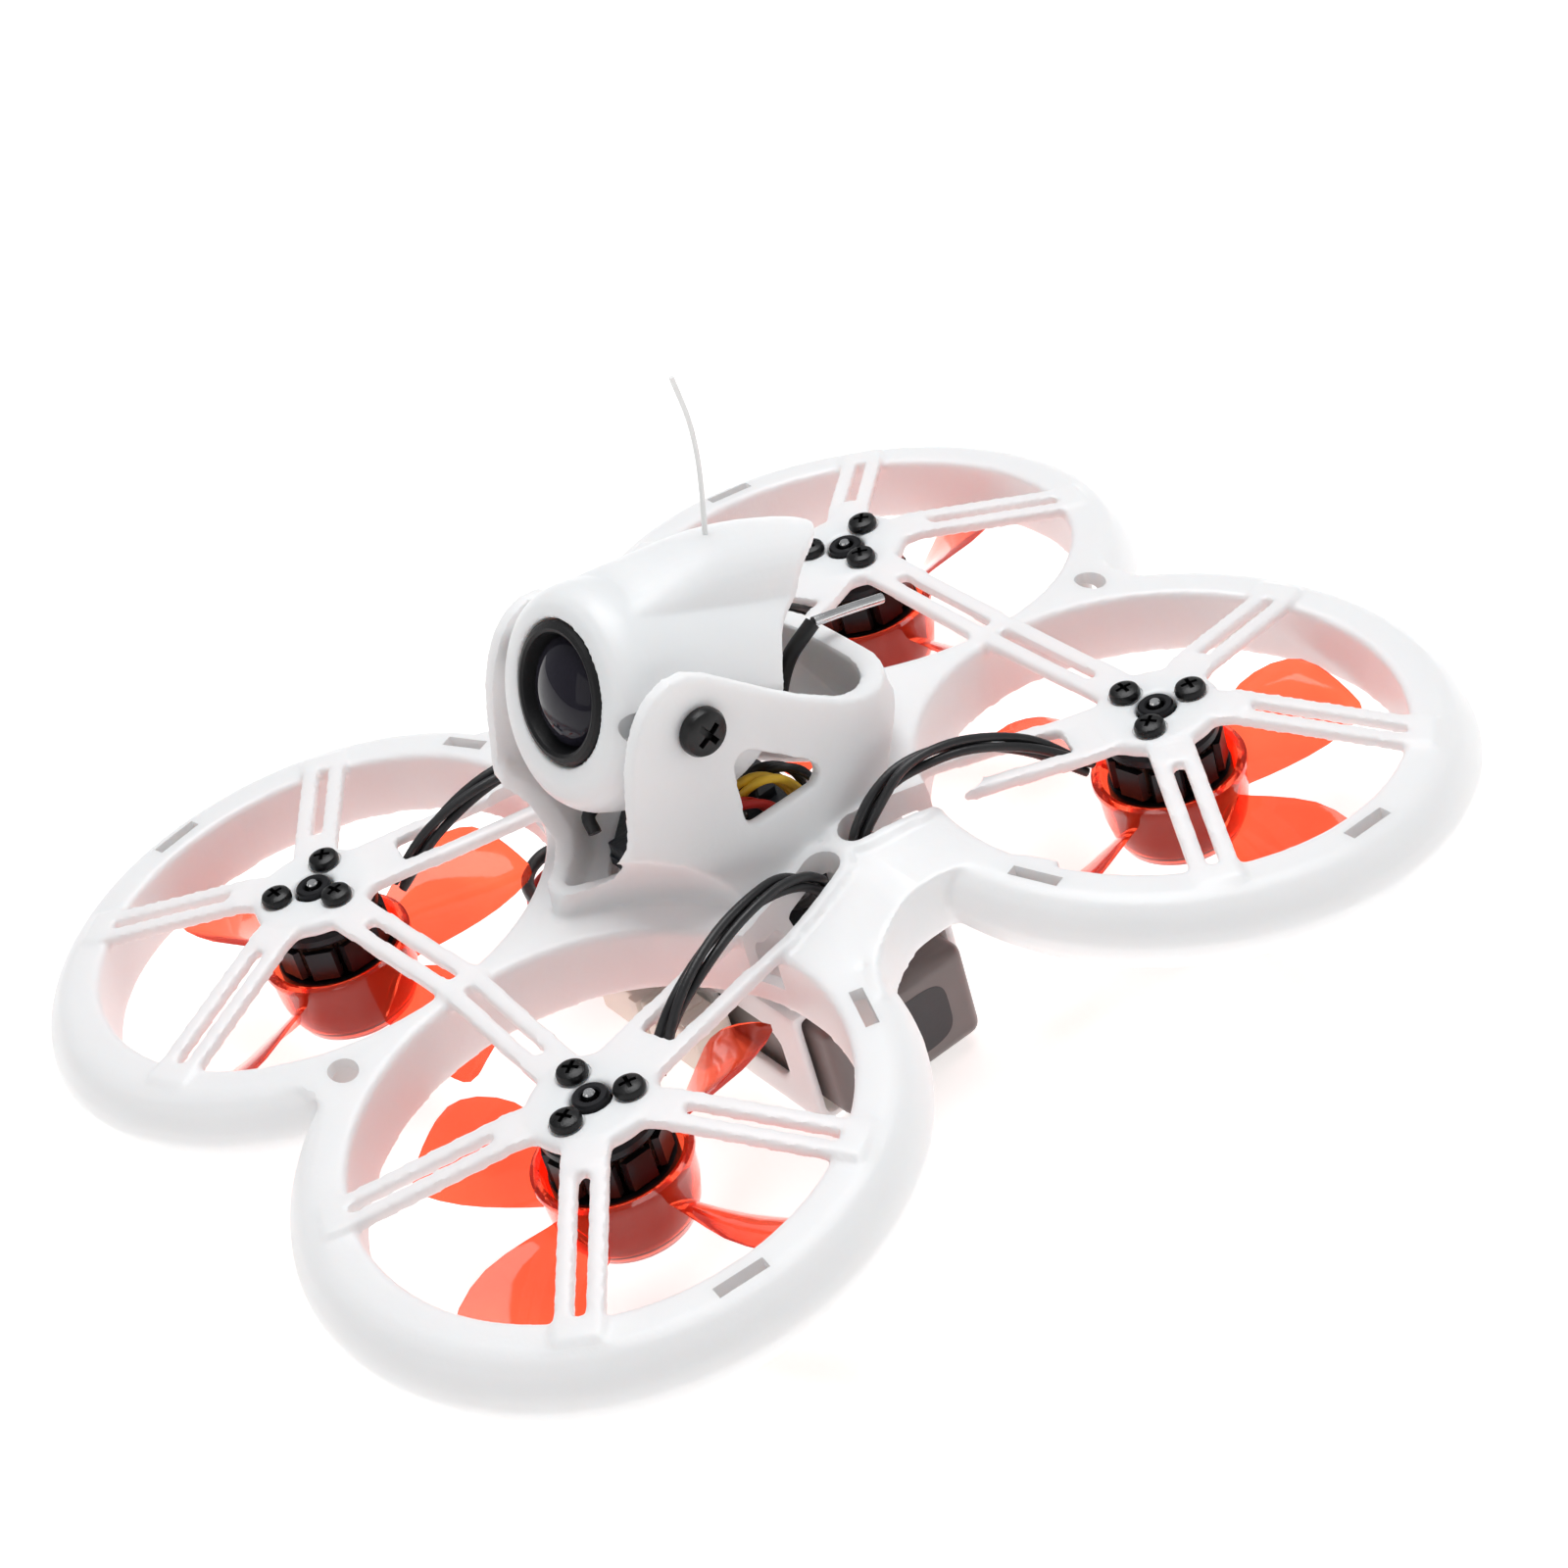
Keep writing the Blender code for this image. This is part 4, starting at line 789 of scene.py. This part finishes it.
def arch_row(y, ridge, half, foot):
    """One section of the hood, arched from side to side."""
    turns = [math.radians(k) for k in range(-90, 91, 10)]
    return ([at(-half, y, foot - 2)] + [at(half * math.sin(t), y,
                                           foot + (ridge - foot) * math.cos(t) ** 0.8) for t in turns]
            + [at(half, y, foot - 2)])


def hood_piece(name, rows, half, foot):
    """A solid through arched sections, in place over the lens axis."""
    piece = loft(name, [arch_row(y, ridge, half, foot) for y, ridge in rows])
    piece.data.transform(lie_down)
    return piece


shroud = lens_turned("shroud", [(0, -6.0), (7.2, -6.4), (8.2, -6.2), (8.9, -5.7), (9.4, -4.9), (9.7, -3.9),
                                (9.85, -2.6), (9.9, 0.0), (9.9, 18.6), (0, 18.6)], 112)
shroud.data.transform(lie_down @ Matrix.Translation(Vector((0, 0, BARREL_SAG)) * MM) @ lie_down.inverted())
flats = slab("flats", [at(x, -30, z) for x, z in ((-HALF_WIDTH, -30), (HALF_WIDTH, -30), (HALF_WIDTH, 30),
                                                  (-HALF_WIDTH, 30))], Vector((0, 60, 0)))
flats.data.transform(lie_down)
carve(shroud, flats, "INTERSECT")
ridge_line = [(-4.6, 7.6), (-2.6, 8.8), (0.0, 10.0), (2.6, 10.9), (5.0, 11.7), (7.2, 12.25), (9.6, 12.55),
              (12.0, 12.65), (15.4, 12.5), (18.6, 12.1)]
carve(shroud, hood_piece("hood", ridge_line, 5.1, 7.3), "UNION")
carve(shroud, lens_turned("room", [(0, -8), (6.25, -8), (6.25, -5.2), (8.2, -3.6), (8.2, 25), (0, 25)],
                          112))
carve(shroud, hood_piece("hood_room", [(y, ridge - 1.25) for y, ridge in ridge_line[3:]] + [(25.0, 10.8)],
                         4.0, 7.3))
# seen from above, the hood's rear edge runs out to a blunt point in the middle
half_plan = [(0.8, 18.0), (1.8, 17.3), (3.0, 15.9), (4.5, 13.7), (6.0, 11.7), (7.4, 10.5), (9.0, 9.7),
             (20, 9.4)]
peak = slab("peak", [at(x, y, -30) for x, y in [(-x, y) for x,
                                                y in reversed(half_plan)] + [(0, 18.15)] + half_plan
                     + [(20, 30), (-20, 30)]], Vector((0, 0, 60)))
peak.data.transform(lie_down)
carve(shroud, peak)
carve(shroud, side_cut("chin", [(5.5, -14), (7.6, -6), (9.4, -1), (30, -1), (30, -14)], 20))
melt(shroud, 0.21, 4, 0.6)
SLOT_RADIUS = 1.35
slot_line = [(y + SLOT_RADIUS * math.cos(math.radians(a)), 0.1 + SLOT_RADIUS * math.sin(math.radians(a)))
             for y, first in ((0.1, -90), (-4.7, 90)) for a in range(first, first + 181, 15)]
for side in (-1, 1):
    slot = slab("adjuster_slot", [at(side * 7.9, y, z) for y, z in slot_line], Vector((side * 9, 0, 0)))
    slot.data.transform(lie_down)
    carve(shroud, slot)
dress(smooth_by(shroud, 38), white_moulding, "frame_white", "camera", "camera_housing")


# ---------------------------------------------------------------- camera
# The camera is a small round can with a black threaded ring in front, stepped inside to stop stray
# light, and a wide coated lens that bulges out of the ring.
satin_black = grained("satin_black", (0.006, 0.006, 0.007), (0.014, 0.014, 0.015), (0.38, 0.52), cloud=150,
                      grain=5000, depth=0.2, Specular_IOR_Level=0.25)
module = lens_turned("camera_can", [(0, -2.6), (1.3, -2.6), (1.45, -3.3), (2.5, -3.5), (2.7, -4.1),
                                    (3.6, -4.3), (3.8, -4.7), (4.55, -4.85), (4.8, -5.2), (4.95, -6.1),
                                    (5.1, -6.45), (5.4, -6.6), (5.8, -6.5), (6.08, -6.2), (6.12, -5.0),
                                    (6.0, -4.8), (6.0, -1.8), (7.6, -1.5), (7.6, 7.3), (7.3, 7.6),
                                    (0, 7.6)], 80)
dress(smooth_by(module, 30), satin_black, "camera_black", "camera", "camera_module")
coated_glass = grained("coated_glass", (0.03, 0.028, 0.05), (0.05, 0.045, 0.06), (0.02, 0.05), cloud=40,
                       grain=500, depth=0.0, Transmission_Weight=0.6, IOR=1.28)
dome = lens_turned("front_lens", [(0, -7.0), (1.2, -6.94), (2.4, -6.7), (3.5, -6.25), (4.3, -5.7),
                                  (4.65, -5.2), (4.6, -5.05), (3.9, -5.0), (3.0, -5.35), (1.6, -5.7),
                                  (0, -5.8)], 72)
dress(smooth_by(dome, 40), coated_glass, "lens_glass", "camera", "lens_glass")
pupil = lens_turned("inner_lens", [(0, -3.1), (0.5, -3.05), (1.0, -2.85), (1.2, -2.68), (0, -2.66)], 40)
dress(smooth_by(pupil, 40), coated_glass, "lens_glass", "camera")


# ---------------------------------------------------------------- aerials and camera lead
# A springy white whip stands on the hood; behind the cradle the video aerial leaves through a black
# shrink sleeve and ends in a bare tinned tip. The camera's black lead drops to the video board.
pale_sleeve = grained("pale_sleeve", (0.86, 0.86, 0.85), (0.93, 0.93, 0.92), (0.35, 0.5), depth=0.1)
whip = wire("whip", easy_curve([at(0, 5.2, 26.6), at(0, 6.1, 30.6), at(0.1, 6.6, 34.0), at(0.2, 6.7, 37.5),
                                at(0.2, 6.3, 41.6)], 8), 0.24)
dress(whip, pale_sleeve, "whip_white", "camera", "whip_antenna")
sleeve = wire("aerial_sleeve", easy_curve([at(0, 6.6, 4.6), at(0, 7.6, 8.2), at(0, 9.6, 11.2),
                                           at(0, 12.7, 12.95)]), 0.72)
dress(sleeve, silicone_black, "lead_black", "frame", "antenna_sleeve")
tip = wire("aerial_tip", easy_curve([at(0, 12.8, 12.98), at(0, 16.4, 12.1), at(0, 20.0, 11.1)]), 0.48)
dress(tip, ground_steel, "bright_steel", "frame", "antenna_tip")
lead = wire("camera_lead", easy_curve([at(-4.4, -4.0, 5.0), at(-4.6, -8.0, 5.8), at(-4.4, -11.0, 5.5),
                                       at(-3.2, -11.6, 4.3)]), 0.6)
dress(lead, silicone_black, "lead_black", "frame", "camera_cable")


# ---------------------------------------------------------------- circuit boards
# The black main board sits corner-on between the ducts, and the smaller video board lies over it in
# the cradle. Both carry chips, small parts with tinned ends and a few coloured leads.
solder_mask = grained("solder_mask", (0.012, 0.014, 0.018), (0.03, 0.035, 0.045), (0.3, 0.5), cloud=700,
                      grain=3000, depth=0.4)
tinned = grained("tinned", (0.55, 0.54, 0.5), (0.75, 0.72, 0.62), (0.2, 0.35), cloud=500, grain=4000,
                 depth=0.2, Metallic=1.0)
silicone_yellow = grained("silicone_yellow", (0.85, 0.5, 0.02), (0.95, 0.6, 0.05), (0.3, 0.45), cloud=300,
                          grain=4000, depth=0.2)


def block(name, x, y, z, wide, deep, tall, edge=0.08):
    """A small part standing on a board, given by the middle of its underside."""
    part = slab(name, [at(x + a * wide / 2, y + b * deep / 2, z) for a,
                       b in ((-1, -1), (1, -1), (1, 1), (-1, 1))],
                Vector((0, 0, tall)))
    return round_edges(part, edge, 2) if edge else part


main_board = slab("main_board", [at(x, y, -7.2) for x, y in
                                 ((-3.8, -12.6), (3.8, -12.6), (10.8, -5.6), (10.8, 5.6), (3.8, 12.6),
                                  (-3.8, 12.6), (-10.8, 5.6), (-10.8, -5.6))], Vector((0, 0, 1.0)))
board_bits = [main_board] + [block("chip", x, y, -6.25, w, d, h) for x, y, w, d, h in
                             ((0, -1, 5.5, 5.5, 0.9), (-6, -3, 3, 4, 1.0), (1, 9, 4, 3, 0.9),
                              (-3, -8.5, 5, 2.4, 1.3))]
dress(smooth_by(join_up("main_board", board_bits), 30), solder_mask, "board_black", "frame",
      "flight_controller")
video = slab("video_board", [at(x, y, 1.6) for x, y in
                             ((-1.8, -11.6), (1.8, -11.6), (8.4, -5.0), (8.4, 2.2), (6.0, 4.6), (-6.0, 4.6),
                              (-8.4, 2.2), (-8.4, -5.0))], Vector((0, 0, 0.9)))
video_bits = [video] + [block("chip", x, y, 2.45, w, d, h) for x, y, w, d, h in
                        ((0, -10.2, 3.6, 2.4, 1.4), (4.2, -5, 3.6, 3.6, 0.8), (-3.4, -1, 5, 5, 0.9),
                         (2.6, 1.6, 2.6, 2.0, 1.0))]
dress(smooth_by(join_up("video_plate", video_bits), 30), solder_mask, "board_black", "frame", "video_board")
# small parts scattered over the video board, then a ring of solder pads on the main board
bits = []
for k in range(26):
    angle, reach = 2.4 * k, 2.6 + 0.22 * k
    x, y = reach * math.cos(angle), -2.6 + 0.85 * reach * math.sin(angle)
    if abs(x) < 7.4 and abs(x) + abs(y + 3.4) < 9.6:
        bits.append(block("small_part", x, y, 2.5, 0.9 if k % 2 else 0.5, 0.5 if k % 2 else 0.9, 0.45,
                          0.05))
for k in range(16):
    turn = math.radians(22.5 * k)
    bits.append(block("pad", 9.2 * math.cos(turn), 9.6 * math.sin(turn) * 0.92, -6.2, 0.9, 0.9, 0.12, 0.0))
dress(smooth_by(join_up("tinned_parts", bits), 30), tinned, "bright_steel", "frame")
INNER_RADIUS, INNER_APART = 0.4, 1.2   # each inner lead is doubled by a neighbour
inner_routes = (("red", silicone_red, "lead_red",
                 [(7.4, 3.4, -4.0), (8.6, 1.4, 1.8), (8.9, -1.0, 6.0), (8.0, -3.4, 7.0), (6.2, -4.6, 5.4),
                  (5.4, -5.0, 3.1)]),
                ("yellow", silicone_yellow, "lead_red",
                 [(6.0, 4.6, -4.0), (8.0, 3.2, 3.0), (8.7, 1.4, 6.9), (8.2, -0.6, 8.1), (6.2, -2.2, 6.2),
                  (5.2, -2.8, 3.0)]),
                ("black", silicone_black, "lead_black",
                 [(5.4, 6.0, -4.0), (7.6, 4.6, 3.0), (8.0, 3.4, 6.4), (7.0, 1.6, 7.4), (4.6, 0.6, 5.6),
                  (3.6, 0.4, 3.1)]))
for tag, mat, slot_name, route in inner_routes:
    for shift_x in (0.0, -INNER_APART):
        path = easy_curve([at(x + shift_x, y + 0.4 * shift_x, z) for x, y, z in route])
        dress(wire("inner_wire_%s_%d" % (tag, shift_x < 0), path, INNER_RADIUS), mat, slot_name, "frame")


# ---------------------------------------------------------------- battery
# A flat lithium pack in grey-brown shrink wrap lies crossways in the bay. Two thick silicone leads loop
# out of its right-hand end and forward to a cream nylon plug and socket.
wrap_film = grained("wrap_film", (0.13, 0.105, 0.1), (0.2, 0.17, 0.165), (0.25, 0.42), cloud=120, grain=420,
                    depth=0.5)
sticker_black = grained("sticker_black", (0.02, 0.018, 0.02), (0.035, 0.03, 0.035), (0.3, 0.4), cloud=200,
                        grain=3000, depth=0.1)
cream_nylon = grained("cream_nylon", (0.84, 0.78, 0.68), (0.9, 0.85, 0.77), (0.35, 0.5), cloud=200,
                      grain=3000, depth=0.15, Subsurface_Weight=0.15,
                      Subsurface_Radius=(0.002, 0.0015, 0.001), Subsurface_Scale=1.0)
pack = slab("battery_pack", [at(-22.0, y, z) for y, z in ((-7.9, -19.2), (7.1, -19.2), (7.1, -9.2),
                                                          (-7.9, -9.2))], Vector((42, 0, 0)))
round_edges(pack, 1.3, 5)
dress(smooth_by(pack, 35), wrap_film, "battery_wrap", "battery_pack", "battery")
label = slab("pack_label", [at(19.97, -0.4 + 4.6 * math.copysign(abs(math.cos(t)) ** 0.5, math.cos(t)),
                               -14.2 + 3.1 * math.copysign(abs(math.sin(t)) ** 0.5, math.sin(t)))
                            for t in [math.radians(9 * k) for k in range(40)]], Vector((0.06, 0, 0)))
dress(label, sticker_black, "battery_wrap", "battery_pack")
for tag, drop, mat in (("black", 0.0, silicone_black), ("red", 2.2, silicone_red)):
    path = easy_curve([at(-21.6, -3.2, -12.2 - drop * 0.9), at(-24.7, -4.4, -12.2 - drop),
                       at(-26.3, -7.2, -12.4 - drop), at(-24.3, -10.4, -12.6 - drop),
                       at(-18.3, -11.8, -12.8 - drop), at(-12.6, -12.0, -12.9 - drop),
                       at(-7.6, -12.0, -12.9 - drop)])
    dress(wire("pack_lead_" + tag, path, 0.65, 4), mat, "lead_" + tag, "battery_pack",
          "battery_lead_" + tag)


def nylon_half(name, x0, x1, rim, ribs):
    """One half of the battery connector: a block with a rim near its open end and small ribs on top."""
    shell = slab(name, [at(x0, y, z) for y, z in ((-14.0, -16.6), (-10.0, -16.6), (-10.0, -11.8),
                                                  (-14.0, -11.8))],
                 Vector((x1 - x0, 0, 0)))
    bits = [round_edges(shell, 0.35, 3)]
    edge = slab("rim", [at(rim, y, z) for y, z in ((-14.5, -16.95), (-9.75, -16.95), (-9.75, -11.65),
                                                   (-14.5, -11.65))],
                Vector((1.3 if rim < 0 else -1.3, 0, 0)))
    edge.data.transform(Matrix.Translation(Vector((-1.5 if rim < 0 else 1.5, 0, 0)) * MM))
    bits.append(round_edges(edge, 0.25, 2))
    for k in range(ribs):
        bits.append(block("rib", (x0 + x1) / 2 - 1.6 + 1.6 * k, -12.0, -11.9, 0.7, 3.2, 0.3))
    return smooth_by(join_up(name, bits), 32)


dress(nylon_half("pack_plug", -8.2, -0.2, -0.3, 2), cream_nylon, "connector_cream", "battery_pack",
      "battery_plug")
dress(nylon_half("bay_socket", 0.2, 7.6, 0.3, 3), cream_nylon, "connector_cream", "frame", "battery_socket")
